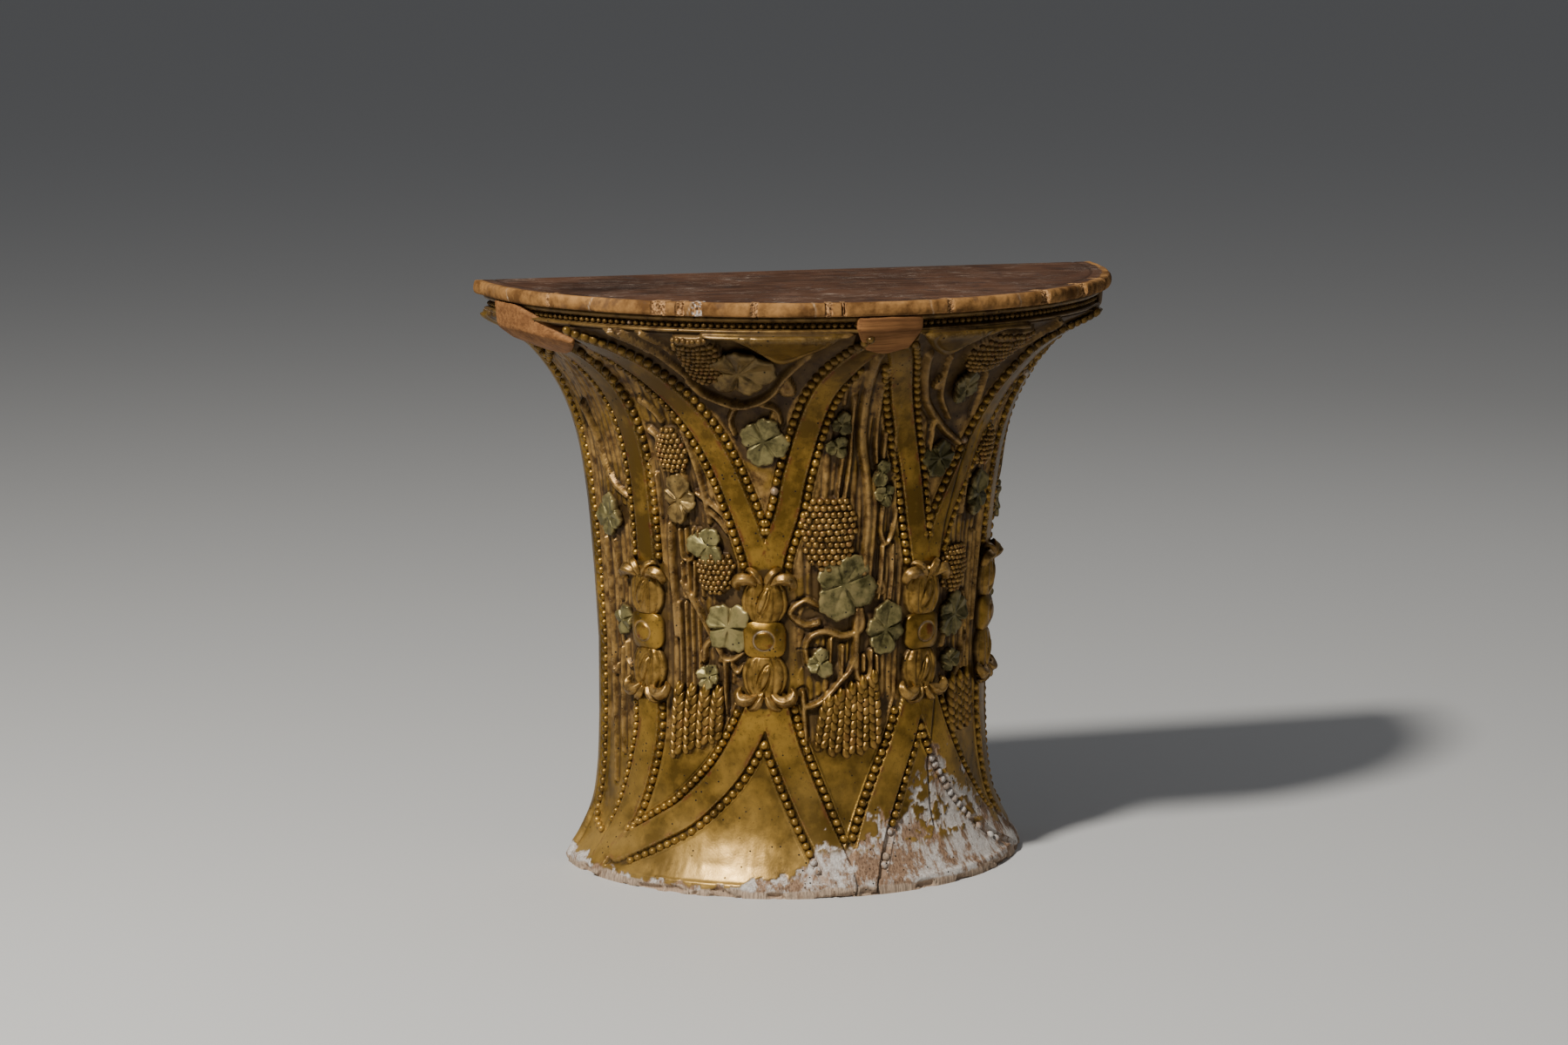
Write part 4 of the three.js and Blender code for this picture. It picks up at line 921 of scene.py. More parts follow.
def grain(width, length, rise):
    """An almond-shaped grain, pointed at the top."""
    theta, angle = quarter(5), circle(12)
    point = np.cos(angle)
    slim = np.where(point > 0, 1 - 0.55 * point**2, 1)
    a = np.outer(np.sin(theta), width / 2 * np.sin(angle) * slim)
    b = np.outer(np.sin(theta), length / 2 * point * np.where(point > 0, 1.15, 0.85))
    c = rise * np.cos(theta) ** 0.8
    return capped(rise, a, b, np.repeat(np.where(c < 0.01, -2, c)[:, None], len(angle), 1))


def wheat(rng, gilt):
    batch = Batch()
    for bottom, top in WHEAT:
        line = Line([bottom, top])
        count = int(line.length / GRAIN_PITCH)
        for k in range(count + 1):
            for side in (-1, 1):
                distance = (k + 0.3 + (0.5 if side > 0 else 0)) * line.length / (count + 1)
                share = distance / line.length
                spread = 5.0 * math.sqrt(max(0.15, math.sin(math.pi * min(0.95, share * 0.8 + 0.18))))
                degrees, z, turn = line.at(distance, side * spread)
                sizes = [size * rng.uniform(low, high) for size, low, high in GRAIN_SIZES]
                a, b, c, faces = grain(*sizes)
                # Grains darken towards their feet with dirt and painted shade, and their tips are lightened
                # with rubbed wear and painted highlight
                low = 0.12 + 0.86 * (1 - step_up(c / GRAIN_RISE, 0.2, 0.75))
                tilt = c - 0.2 * b
                add_form(
                    batch, (degrees, z), (a, b, tilt, faces), float(turn) + side * 0.36, 3.2, burnish=0.5,
                    cavity=low, crest=0.8 * step_up(tilt / GRAIN_RISE, 0.9, 1.2), bole=0.5 * rng.random(),
                    tone=rng.uniform(-1, 0.6),
                )
        degrees, z, turn = line.at(line.length)
        add_form(batch, (degrees, z), grain(8.5, 18, 6), float(turn), 3.4, burnish=0.8)
    batch.make("wheat_ears", gilt, "gilt_carving")


def polar_form(outline, height, sectors, rings, foot=-3.0, tuck=0.9):
    """A raised form from its outline round a middle, with a cut-back wall below its edge."""
    theta, share = np.meshgrid(circle(sectors), np.linspace(0, 1, rings + 1)[1:])
    edge = outline(theta[0])
    a, b = share * edge * np.sin(theta), share * edge * np.cos(theta)
    c = height(a, b, share, theta)
    middle = float(np.mean(c[0]))
    c = np.vstack([c, np.minimum(c[-1] - 2.2, 2.0), np.full(sectors, foot)])
    a, b = (np.vstack([side, side[-1], side[-1] * tuck]) for side in (a, b))
    return capped(middle, a, b, c)


LEAF_SECTORS = 100
LEAF_RINGS = 12


def leaf_form(rng, width, height, lobes, turn):
    """A vine leaf of broad round lobes, each folded or hollowed along its middle and tilted its own way."""
    axes = turn + (np.arange(lobes) + rng.uniform(-0.14, 0.14, lobes)) * 2 * np.pi / lobes
    lengths = rng.uniform(0.80, 1.04, lobes)
    seats = rng.uniform(0.42, 0.52, lobes)
    folds = rng.choice((-1, 1), lobes) * rng.uniform(2.2, 4.2, lobes)
    slants = rng.choice((-1, 1), lobes) * rng.uniform(0.6, 2.4, lobes)
    leans = rng.uniform(-1.6, 2.0, lobes)

    def lobe(theta):
        """The lobe that reaches farthest, its reach, how near the notch is, and the angle off its middle."""
        off = (theta[..., None] - axes + np.pi) % (2 * np.pi) - np.pi
        round_lobe = np.maximum((1 - seats) ** 2 - (seats * np.sin(off)) ** 2, 1e-4)
        reach = seats * np.cos(off) + np.sqrt(round_lobe)
        reach = np.maximum(reach, 0.12) * lengths
        order = np.argsort(-reach, -1)
        first, second = (np.take_along_axis(reach, order[..., k : k + 1], -1)[..., 0] for k in (0, 1))
        off = np.take_along_axis(off, order[..., :1], -1)[..., 0]
        return order[..., 0], first, step_up(second / first, 0.5, 1), off

    def outline(theta):
        _, reach, _, _ = lobe(theta)
        scallop = 1 + 0.035 * np.sin(11 * theta + turn * 5) + 0.02 * np.sin(23 * theta + turn)
        return reach * scallop * np.hypot(width / 2 * np.sin(theta), height / 2 * np.cos(theta))

    def rise(a, b, share, theta):
        number, _, gap, off = lobe(theta)
        out = np.hypot(a, b)
        across = np.clip(2.2 * np.abs(np.sin(off)) * share, 0, 1)
        fold = folds[number] * (across - 0.4) + slants[number] * np.sign(off) * across
        vein = 0.9 * bell(np.sin(off) * out, 1.3) * step_up(share, 0.1, 0.3) * step_up(1 - share, 0.1, 0.4)
        valley = 3.0 * bell((1 - gap) * out, 3.2) * step_up(share, 0.1, 0.3)
        roll = 1.4 * step_up(share, 0.9, 1.0)
        return LEAF_RISE + 1.8 + fold * step_up(share, 0, 0.3) + leans[number] * share - vein - valley - roll

    return polar_form(outline, rise, LEAF_SECTORS, LEAF_RINGS, tuck=0.86)


def leaves(rng, gilt):
    batch = Batch()
    for place, width, height, lobes, turn in LEAVES:
        form = leaf_form(rng, width, height, lobes, turn)
        ring = (np.arange(len(form[2])) - 1) // LEAF_SECTORS
        top = ring < LEAF_RINGS
        edge = step_up(ring, LEAF_RINGS - 2.5, LEAF_RINGS - 1) * top
        browned = 0.35 if place in ((-26.7, 688), (-46.4, 510)) else 1.0
        # The leaf's cut-back wall is darkened, dirt and painted shade under the leaf, and its rim is
        # lightened with rubbed wear and painted highlight
        low = np.where(top, 0.15 * step_up(7 - form[2], 0, 4), 0.9)
        # Leaves left of the front are toned lighter and those right of it darker: painted light and shade
        # from the key on the left
        add_form(batch, place, form, 0, 0, leaf=np.where(top, browned, 0.4), cavity=low, crest=edge * 0.8,
                 tone=(0.8 if place[0] < -5 else -0.5) + rng.uniform(-0.3, 0.3))
    batch.make("vine_leaves", gilt, "gilt_carving")


def boss_form():
    """A cushion block with an incised ring round a low dome."""

    def outline(theta):
        s, c = np.abs(np.sin(theta)) / BOSS_HALF_WIDTH, np.abs(np.cos(theta)) / (BOSS_HALF_HEIGHT + 0.5)
        return (s**3.4 + c**3.4) ** (-1 / 3.4)

    def rise(a, b, share, theta):
        side = (1 - np.clip(np.abs(a) / (BOSS_HALF_WIDTH + 0.5), 0, 1) ** 2.6) ** 0.6
        end = (1 - 0.45 * np.clip(np.abs(b) / BOSS_HALF_HEIGHT, 0, 1) ** 2.4)
        body = BOSS_RISE * side * end + 1.2
        reach = np.hypot(a, b)
        eye = 1.6 * np.sqrt(np.clip(1 - (reach / (EYE_RADIUS - 1)) ** 2, 0, 1))
        return body + eye - 1.7 * bell(reach - EYE_RADIUS, 0.9)

    return polar_form(outline, rise, 72, 28, tuck=0.99)


# A husk's half width along its length, both as shares of the whole
HUSK_OUTLINE = [(0, 0.62), (0.08, 0.76), (0.25, 0.95), (0.45, 1), (0.7, 0.9), (0.88, 0.68), (1, 0.5)]


def husk_form():
    """A tulip husk that opens away from the boss, with flutes, a lipped pod and a split mouth."""
    nu, nv = 65, 66
    u = np.linspace(-1, 1, nu)[None, :]
    v = np.linspace(0, 1, nv)[:, None]
    aside = np.abs(u)
    half = np.interp(v, *zip(*HUSK_OUTLINE)) * HUSK_HALF_WIDTH
    mouth = 3.5 * bell(aside - 0.4, 0.25) - 8 * bell(u, 0.1)
    a = u * half
    b = v * HUSK_LENGTH + mouth * v**4
    body = (1 - aside**2.6) ** 0.6 * (0.72 + 0.28 * np.sin(np.pi * v**0.8))
    fold = np.abs(np.sin(np.pi * (aside * 2.6 - 0.12)))
    flute = 3.4 * (fold**0.55 - 0.7) * step_up(aside, 0.16, 0.34) * step_up(v, 0, 0.1)
    c = HUSK_RISE * body + flute * (1 - 0.5 * step_up(v, 0.8, 1))
    pb = b - HUSK_LENGTH * 0.48
    pa = a - POD_SLANT * pb
    pod = np.hypot(pa / POD_HALF_WIDTH, pb / POD_HALF_LENGTH)
    c = c - 3.0 * bell(pod - 1.08, 0.24) + 2.4 * np.sqrt(np.clip(1 - pod**2, 0, 1))
    edge_line = 0.45 * POD_HALF_WIDTH * np.sqrt(np.clip(1 - (pb / POD_HALF_LENGTH) ** 2, 0, 1))
    c = c - 3.4 * (bell(pa - edge_line, 1.0) * step_up(POD_HALF_LENGTH - np.abs(pb), 0, 5))
    c = c - 5 * bell(u, 0.06) * step_up(v, 0.76, 0.95)
    c = c + 2.6 * step_up(v, 0.84, 0.93) * bell(aside - 0.45, 0.3)
    edge = (aside > 0.999) | (v > 0.999) | (v < 0.001)
    c = np.where(edge, -3, np.maximum(c, 1.0))
    a = np.where(v > 0.999, a * 0.92, a)
    index = np.arange(nv * nu).reshape(nv, nu)
    rim = np.concatenate([index[0], index[1:, -1], index[-1, -2::-1], index[-2:0:-1, 0]])
    return a.ravel(), b.ravel(), c.ravel(), [*grid_faces(nv, nu), rim[::-1].tolist()]


def tube_form(path, radii, sides=16, steps=5, ridge=0.0):
    """A round rope along a path across, up and out, with given radii at its points."""
    points = spline(path, steps)
    t = np.linspace(0, len(radii) - 1, len(points))
    radius = np.interp(t, np.arange(len(radii)), radii)
    ahead = np.gradient(points, axis=0)
    ahead /= np.linalg.norm(ahead, axis=1, keepdims=True)
    side = np.cross(ahead, [0.0, 0.0, 1.0])
    side /= np.linalg.norm(side, axis=1, keepdims=True) + 1e-9
    up = np.cross(side, ahead)
    angle = circle(sides)[None, :, None]
    ring = side[:, None] * np.cos(angle) + up[:, None] * np.sin(angle)
    ribbed = 1 + ridge * np.cos(4 * angle + 0.5)
    body = points[:, None] + ring * radius[:, None, None] * ribbed
    last = (len(points) - 1) * sides
    faces = [face[::-1] for face in grid_faces(len(points), sides, wrap=True)]
    faces += [range(sides), range(last + sides - 1, last - 1, -1)]
    return *body.reshape(-1, 3).T, faces


def curls(rng):
    """The two rolled tips on each side of a husk's mouth."""
    forms = []
    for side in (-1, 1):
        wide = rng.uniform(0.92, 1.08)
        path = [(9, 50, 9), (16, 56, 13), (24, 58, 14), (31, 55, 12), (34, 48, 9), (31, 42, 6)]
        path = [(side * a * wide, b + rng.uniform(-1, 1), c) for a, b, c in path]
        forms.append(tube_form(path, [3.6, 6.0, 7.4, 7.0, 5.2, 1.6], ridge=0.16))
        tip = [(3, 52, 11), (7, 60, 13), (12, 66, 12), (18, 69, 8), (23, 67, 4)]
        tip = [(side * a, b, c) for a, b, c in tip]
        forms.append(tube_form(tip, [3.0, 4.6, 4.8, 3.6, 1.2], ridge=0.2))
    return forms


def husks_and_bosses(rng, gilt):
    husks, bosses = Batch(), Batch()
    husk, boss = husk_form(), boss_form()
    reach = np.hypot(boss[0], boss[1])
    # Bosses, husks and curls darken towards the ground with dirt and painted shade, and husk and curl tops
    # are lightened with rubbed wear and painted highlight
    for degrees, z in BOSSES:
        add_form(
            bosses, (degrees, z), boss, burnish=0.95, cavity=1 - step_up(boss[2], 2, 9),
            bole=step_up(EYE_RADIUS - 1 - reach, 0, 2) * 0.9 + 0.1, loss=bell(reach - EYE_RADIUS, 1.0) * 0.4,
            tone=rng.uniform(-0.4, 0.8),
        )
        for up, turn in ((1, 0.0), (-1, math.pi)):
            place = (degrees, z + up * (BOSS_HALF_HEIGHT - 1.5))
            add_form(
                husks, place, husk, turn, burnish=0.5, cavity=1 - step_up(husk[2], 2, 8),
                crest=step_up(husk[2], 14.5, 16.5) * 0.5, tone=rng.uniform(-0.5, 0.5),
            )
            for form in curls(rng):
                add_form(
                    husks, place, form, turn, burnish=0.3, cavity=1 - step_up(form[2], 4, 12),
                    crest=step_up(form[2], 14, 18), tone=rng.uniform(-1, 1),
                )
    husks.make("tulip_husks", gilt, "gilt_carving")
    bosses.make("ring_bosses", gilt, "gilt_carving")


# The moulding under the board, as places inwards from the lip and heights
MOULDING = [
    (3, 741), (0, 742.5), (0, 744.5), (3, 745.5), (8.5, 747), (9, 750.5), (8, 753.5), (3.5, 754.6),
    (0.8, 756), (-0.6, 758.5), (0, 761), (1.2, BODY_TOP), (40, BODY_TOP), (40, 741),
]

# How dark the moulding is at each of those places, from 0 to 1: dirt in its hollows and painted shadow of
# the board over it
MOULDING_DIRT_AND_SHADOW = np.array([0.3, 0, 0, 0.5, 0.9, 0.9, 0.9, 0.4, 0, 0, 0, 0.2, 0, 0])
PEARL_PITCH = 9
PEARL_INSET = 6.5
PEARL_SEAT = 7.6
PEARL_RISE = 4.6
PEARL_Z = 750.3


def wavy(rng, degrees, count, low, high, ends=(-90, 90)):
    """Random values at evenly spaced places round the drum, joined by straight lines."""
    return np.interp(degrees, np.linspace(*ends, count), rng.uniform(low, high, count))


def moulding(rng, gilt):
    columns = 361
    degrees = np.linspace(-90, 90, columns)
    batch = Batch()
    profile = np.array(MOULDING, float)
    n = len(profile)
    wave = wavy(rng, degrees, 60, 0, 1.4)
    radius = LIP_RADIUS - profile[None, :, 0] - wave[:, None]
    last = (columns - 1) * n
    faces = [face[::-1] for face in grid_faces(columns, n, wrap=True)]
    faces += [range(n), range(last + n - 1, last - 1, -1)]
    # Every part of the moulding is at least half dark, painted shadow of the board above; its lightest
    # places get a little crest, rubbed wear and painted highlight
    dirt_and_shadow, lightest = np.tile(0.5 + 0.5 * MOULDING_DIRT_AND_SHADOW, columns), np.tile(MOULDING_DIRT_AND_SHADOW == 0, columns)
    points = at_radius(degrees[:, None], radius, profile[None, :, 1])
    batch.add(points, faces, burnish=0.2, cavity=dirt_and_shadow, crest=lightest * 0.25)
    arc = np.linspace(-89.4, 89.4, 2000)
    inset = LIP_RADIUS - PEARL_INSET
    length = lengths_along(inset * np.sin(np.radians(arc)), DEPTH_RATIO * inset * np.cos(np.radians(arc)))
    count = int(length[-1] / PEARL_PITCH)
    for k in range(count):
        place = float(np.interp((k + 0.5) * length[-1] / count, length, arc))
        a, b, c, faces = dome(4.0, 3.7, PEARL_RISE, 9, foot=-2)
        grow = rng.uniform(0.9, 1.05)
        turn = a * grow / np.radians(LIP_RADIUS)
        # The pearls are at least 0.45 dark, painted shadow of the board above, and darker at their feet with
        # dirt and painted shade
        batch.add(
            at_radius(place + turn, LIP_RADIUS - PEARL_SEAT + c, PEARL_Z + b * grow), faces, burnish=0.4,
            cavity=np.maximum(0.45, 1 - step_up(c / PEARL_RISE, 0, 0.6)), loss=0.5 * (rng.random() < 0.03),
            tone=rng.uniform(-1, 1),
        )
    batch.make("edge_moulding", gilt, "gilt_carving")


# The board: chips broken out of its edge as degrees, width, depth and whether white ground shows
CHIPS = [
    (-38.5, 22, 5, 0.2), (-34.6, 11, 8, 0.6), (-31.8, 13, 6, 0.9), (-9.5, 10, 5, 0), (-7, 7, 8, 0.2),
    (12, 9, 3, 0), (33.5, 16, 7, 0), (47, 18, 8, 0.2), (-22, 8, 3, 0), (58, 9, 4, 0), (-62, 8, 3, 0),
]
EDGE_JOINTS = [-74, -52, -33, -12, 8.5, 27, 44, 63, 80]


def board(rng, material):
    """The board as rings from the middle of its top, round its edge, to the middle of its underside."""
    columns = 721
    degrees = np.linspace(-90, 90, columns)
    thickness = HEIGHT - BOARD_BOTTOM
    top = np.array([0.004, 0.15, 0.3, 0.45, 0.6, 0.72, 0.82, 0.89, 0.926, 0.934, 0.942, 0.96, 0.975])
    below = np.array([0.9, 0.6, 0.004])
    angle = np.linspace(0, 1, 15) * np.pi
    edge = BOARD_RADIUS - 6.0 * (1 - np.sin(angle) ** 0.7)
    edge_z = BOARD_BOTTOM + thickness * (0.5 + 0.5 * np.cos(angle))
    radius = np.concatenate([BOARD_RADIUS * top, edge, BOARD_RADIUS * below])
    z = np.concatenate([np.full(len(top), HEIGHT), edge_z, np.full(len(below), BOARD_BOTTOM)])
    n = len(radius)
    r, h = np.repeat(radius[None, :], columns, 0), np.repeat(z[None, :], columns, 0)
    outer = ((np.arange(n) >= len(top) - 2) & (np.arange(n) < n - len(below)))[None, :]
    rough_edge = wavy(rng, degrees, 46, 0, 2.6) + wavy(rng, degrees, 240, 0, 1.0)
    r -= outer * (rough_edge * (1 - step_up(np.abs(degrees), 86, 90)))[:, None]
    white, broken, groove = np.zeros((3, columns, n))
    level = step_up(z, BOARD_BOTTOM - 1, BOARD_BOTTOM + 9) * (1 - 0.25 * step_up(z, HEIGHT - 3, HEIGHT))
    for place, width, depth, bare in CHIPS:
        half = width / np.radians(BOARD_RADIUS) / 2
        jag = wavy(rng, degrees, 15, 0.2, 1, (place - half, place + half))
        bite = (step_up(half - np.abs(degrees - place), -0.05, 0.2) * jag * depth)[:, None]
        r -= outer * bite * level[None, :]
        crumbs = rng.random((columns, n)) < 0.25 * (bare > 0.8)
        torn = (bite > 0.5) * outer
        r -= 2.2 * rng.uniform(0, 1, (columns, n)) * torn
        white = np.maximum(white, torn * crumbs)
        broken = np.maximum(broken, torn)
    for place in EDGE_JOINTS:
        bend = 0.35 * np.sin((z - BOARD_BOTTOM) / thickness * 3 + place)
        near = bell((degrees[:, None] - place - bend[None, :]) * np.radians(BOARD_RADIUS), 0.8)
        groove = np.maximum(groove, near * outer)
    r -= 0.9 * groove + 0.6 * rng.uniform(0, 1, (columns, n)) * outer
    seam = bell(np.arange(n) - 9, 0.6)[None, :] * step_up(np.abs(degrees), 0, 6)[:, None]
    h -= np.where(h > HEIGHT - 0.1, 0.7 * seam + 0.25, 0)
    sag = 0.5 * np.abs(wavy(rng, degrees, 30, -1, 1))
    h[:, : len(top)] -= sag[:, None] * (radius[None, : len(top)] / BOARD_RADIUS) ** 3
    rim = step_up(r, BOARD_RADIUS * 0.955, BOARD_RADIUS * 0.985) * (h > BOARD_BOTTOM + 0.5)
    index = np.arange(columns * n).reshape(columns, n)
    faces = grid_faces(columns, n)
    faces += [np.append(index[-1], index[0, ::-1]).tolist(), index[:, 0].tolist(), index[::-1, -1].tolist()]
    batch = Batch()
    batch.add(
        at_radius(degrees[:, None], r, h), faces, crest=rim.ravel(), loss=white.ravel(), tone=broken.ravel(),
        cavity=0.6 * seam.ravel(), bole=(groove * rng.uniform(0.3, 1, (columns, 1))).ravel(),
    )
    sharpen(batch.make("half_round_board", material, "board_top", ["top_board"]), 40)


def sharpen(piece, degrees):
    """Keeps edges sharper than an angle crisp while the rest is shaded smooth."""
    bpy.context.view_layer.objects.active = piece
    for other in bpy.context.selected_objects:
        other.select_set(False)
    piece.select_set(True)
    bpy.ops.object.shade_smooth_by_angle(angle=math.radians(degrees))


def hewn_block(name, corners, rng, material, nodes=()):
    """A rough repair block: a hull of its corners, worn round and cut by a few chisel strokes."""
    bm = bmesh.new()
    for corner in corners:
        bm.verts.new(corner)
    bmesh.ops.convex_hull(bm, input=bm.verts)
    loose = [v for v in bm.verts if not v.link_faces]
    bmesh.ops.delete(bm, geom=loose, context="VERTS")
    bmesh.ops.triangulate(bm, faces=bm.faces)
    bmesh.ops.subdivide_edges(bm, edges=bm.edges, cuts=7, use_grid_fill=True)
    axes = {"use_axis_x": True, "use_axis_y": True, "use_axis_z": True}
    for _ in range(3):
        bmesh.ops.smooth_vert(bm, verts=bm.verts, factor=0.5, **axes)
    waves = rng.uniform(40, 120, (6, 3))
    phases = rng.uniform(0, 6, 6)
    bm.normal_update()
    for v in bm.verts:
        lift = sum(math.sin(v.co.dot(Vector(w)) + p) for w, p in zip(waves, phases)) / 6
        v.co += v.normal * (lift * 0.0012)
        v.co.z = min(v.co.z, BODY_TOP * MM)
        v.co.y = min(v.co.y, WALL_Y * MM)
    mesh = bpy.data.meshes.new(name)
    bm.to_mesh(mesh)
    bm.free()
    for title in MASKS:
        mesh.attributes.new(title, "FLOAT", "POINT")
    mesh.materials.append(material)
    piece = settle(bpy.data.objects.new(name, mesh), nodes)
    sharpen(piece, 35)


BLOCK_DEPTH = 28


def by_lip(out, z, *degrees):
    """Corners out from the lip, at a height and some degrees."""
    return [at_radius(d, LIP_RADIUS + out, z) for d in degrees]


def by_drum(z, rise, *degrees):
    """Corners above the drum's surface, at a height and some degrees."""
    return [on_drum(d, z, rise) for d in degrees]


# The left block is a nose-like chunk that meets the board at its left and slopes to a point at the right.
LEFT_CORNERS = [
    *by_lip(9, BODY_TOP, -80, -76, -71.5), *by_lip(7, BODY_TOP - 33, -79.5, -75, -71),
    *by_lip(-11, BODY_TOP - 48, -78, -72), *by_drum(702, 8, -76, -70, -66), *by_drum(719, 11, -60.5),
    *by_drum(724, 8, -60), *by_drum(722, -6, -60), *by_drum(716, -BLOCK_DEPTH, -78, -66),
    *by_lip(-BLOCK_DEPTH, BODY_TOP, -80, -71.5),
]
CENTRE_CORNERS = [
    *by_lip(9, BODY_TOP, -4.6, 1.5, 7.2), *by_lip(7, BODY_TOP - 18, -4.6, 1.5, 7.2),
    *by_drum(724, 9, -2.6, 6), *by_drum(713, 7, 2.3), *by_drum(716, -BLOCK_DEPTH / 2, 2.3),
    *by_lip(-BLOCK_DEPTH, BODY_TOP, -4.6, 7.2),
]
SCROLL_CORNERS = [
    *by_lip(5, BODY_TOP, 78, 62), *by_lip(3, BODY_TOP - 22, 77, 63), *by_drum(712, 6, 75, 65),
    *by_drum(716, -BLOCK_DEPTH, 76, 64), *by_lip(-BLOCK_DEPTH, BODY_TOP, 78, 62),
]


class Value:
    """One output in a material's node tree. Arithmetic on it adds the nodes that work it out."""

    def __init__(self, finish, socket):
        self.finish, self.socket = finish, socket

    def math(self, operation, a, b, clamp=False):
        return self.finish.add("ShaderNodeMath", 0, {0: a, 1: b}, operation=operation, use_clamp=clamp)

    def __add__(self, other):
        return self.math("ADD", self, other)

    def __mul__(self, other):
        return self.math("MULTIPLY", self, other)

    def __sub__(self, other):
        return self.math("SUBTRACT", self, other)

    def __rsub__(self, other):
        return self.math("SUBTRACT", other, self)

    def most(self, other):
        """The greater of the two, kept between 0 and 1."""
        return self.math("MAXIMUM", self, other, clamp=True)

    def ramp(self, low, high, to_low=0.0, to_high=1.0):
        inputs = {"Value": self, "From Min": low, "From Max": high, "To Min": to_low, "To Max": to_high}
        return self.finish.add("ShaderNodeMapRange", "Result", inputs)


class Finish:
    """A material and its node tree, with short ways to add what the finishes here use."""

    def __init__(self, name):
        self.material = bpy.data.materials.new(name)
        self.material.use_nodes = True
        self.tree = self.material.node_tree
        self.place = self.add("ShaderNodeTexCoord", "Object")

    def add(self, kind, output, inputs=(), **settings):
        node = self.tree.nodes.new(kind)
        for key, value in settings.items():
            setattr(node, key, value)
        for key, value in dict(inputs).items():
            self.join(node.inputs[key], value)
        return Value(self, node.outputs[output])

    def join(self, socket, value):
        if isinstance(value, Value):
            self.tree.links.new(value.socket, socket)
        elif isinstance(value, tuple) and socket.type == "RGBA":
            socket.default_value = (*value, 1)
        else:
            socket.default_value = value

    def mask(self, name):
        return self.add("ShaderNodeAttribute", "Fac", attribute_name=name)

    def stretched(self, scale, turn=0.0):
        inputs = {"Vector": self.place, "Rotation": (0, 0, turn), "Scale": scale}
        return self.add("ShaderNodeMapping", "Vector", inputs)

    def noise(self, scale, detail=3.0, rough=0.55, place=None):
        inputs = {"Vector": place or self.place, "Scale": scale, "Detail": detail, "Roughness": rough}
        return self.add("ShaderNodeTexNoise", "Fac", inputs)

    def mix(self, share, a, b):
        return self.add("ShaderNodeMix", 2, {0: share, 6: a, 7: b}, data_type="RGBA")

    def blend(self, share, a, b):
        return self.add("ShaderNodeMix", 0, {0: share, 2: a, 3: b}, data_type="FLOAT")

    def holes(self, spacing, size, share, cluster):
        """Sparse round worm holes, 1 inside a hole."""
        cells = {"Vector": self.place, "Scale": 1 / spacing}
        colour = self.add("ShaderNodeTexVoronoi", "Color", cells)
        near = self.add("ShaderNodeTexVoronoi", "Distance", cells).ramp(size, size * 0.7)
        chosen = self.add("ShaderNodeSeparateColor", 0, {0: colour}).ramp(share, share - 0.01)
        return near * chosen * self.noise(cluster, 1).ramp(0.46, 0.56)

    def bump(self, *layers):
        """Bumps one over the other, each a height, a strength and a distance."""
        normal = {}
        for height, strength, distance in layers:
            inputs = {"Height": height, "Strength": strength, "Distance": distance, **normal}
            normal = {"Normal": self.add("ShaderNodeBump", "Normal", inputs)}
        return normal["Normal"]

    def make(self, **inputs):
        for key, value in inputs.items():
            self.join(self.tree.nodes["Principled BSDF"].inputs[key.replace("_", " ")], value)
        return self.material


def tinted(colour, share):
    return tuple(share * c for c in colour)


OLIVE_GOLD = (0.105, 0.058, 0.009)
BRIGHT_GOLD = (0.36, 0.205, 0.034)
MATTE_BROWN = (0.075, 0.036, 0.011)
MATTE_OCHRE = (0.36, 0.212, 0.062)
LEAF_GREEN = (0.050, 0.042, 0.013)
LEAF_SILVER = (0.245, 0.205, 0.080)
RED_CLAY = (0.11, 0.020, 0.008)
DUST = (0.175, 0.108, 0.046)
GESSO = (0.50, 0.465, 0.43)
PALE_FOOT_GOLD = (0.34, 0.215, 0.066)
BARE = (0.33, 0.245, 0.175)
SOOT = (0.008, 0.005, 0.003)
GOLD_SPECKLE = (0.045, 0.024, 0.007)
RUBBED_AND_HIGHLIT_CREST = (0.42, 0.29, 0.13)
DIRT_AND_SHADE_BROWN = (0.022, 0.011, 0.004)
STAINED_DEEP, STAINED_PALE = (0.085, 0.048, 0.028), (0.25, 0.155, 0.095)
CHALK_GRIME = (0.16, 0.095, 0.058)
CHALK_HOLLOW = (0.30, 0.2, 0.13)
PAINT_DEEP, PAINT_PALE = (0.022, 0.011, 0.007), (0.070, 0.034, 0.020)
PAINT_GRAIN, PAINT_STAIN = (0.105, 0.054, 0.032), (0.030, 0.020, 0.018)
PAINT_STREAK, PAINT_SCRATCH = (0.30, 0.23, 0.17), (0.40, 0.33, 0.27)
OCHRE_DEEP, OCHRE_PALE, OCHRE_STAIN = (0.090, 0.042, 0.014), (0.29, 0.148, 0.050), (0.07, 0.04, 0.025)
JOINT_WOOD = (0.42, 0.32, 0.21)
TORN_DEEP, TORN_PALE = (0.10, 0.050, 0.020), (0.36, 0.20, 0.088)


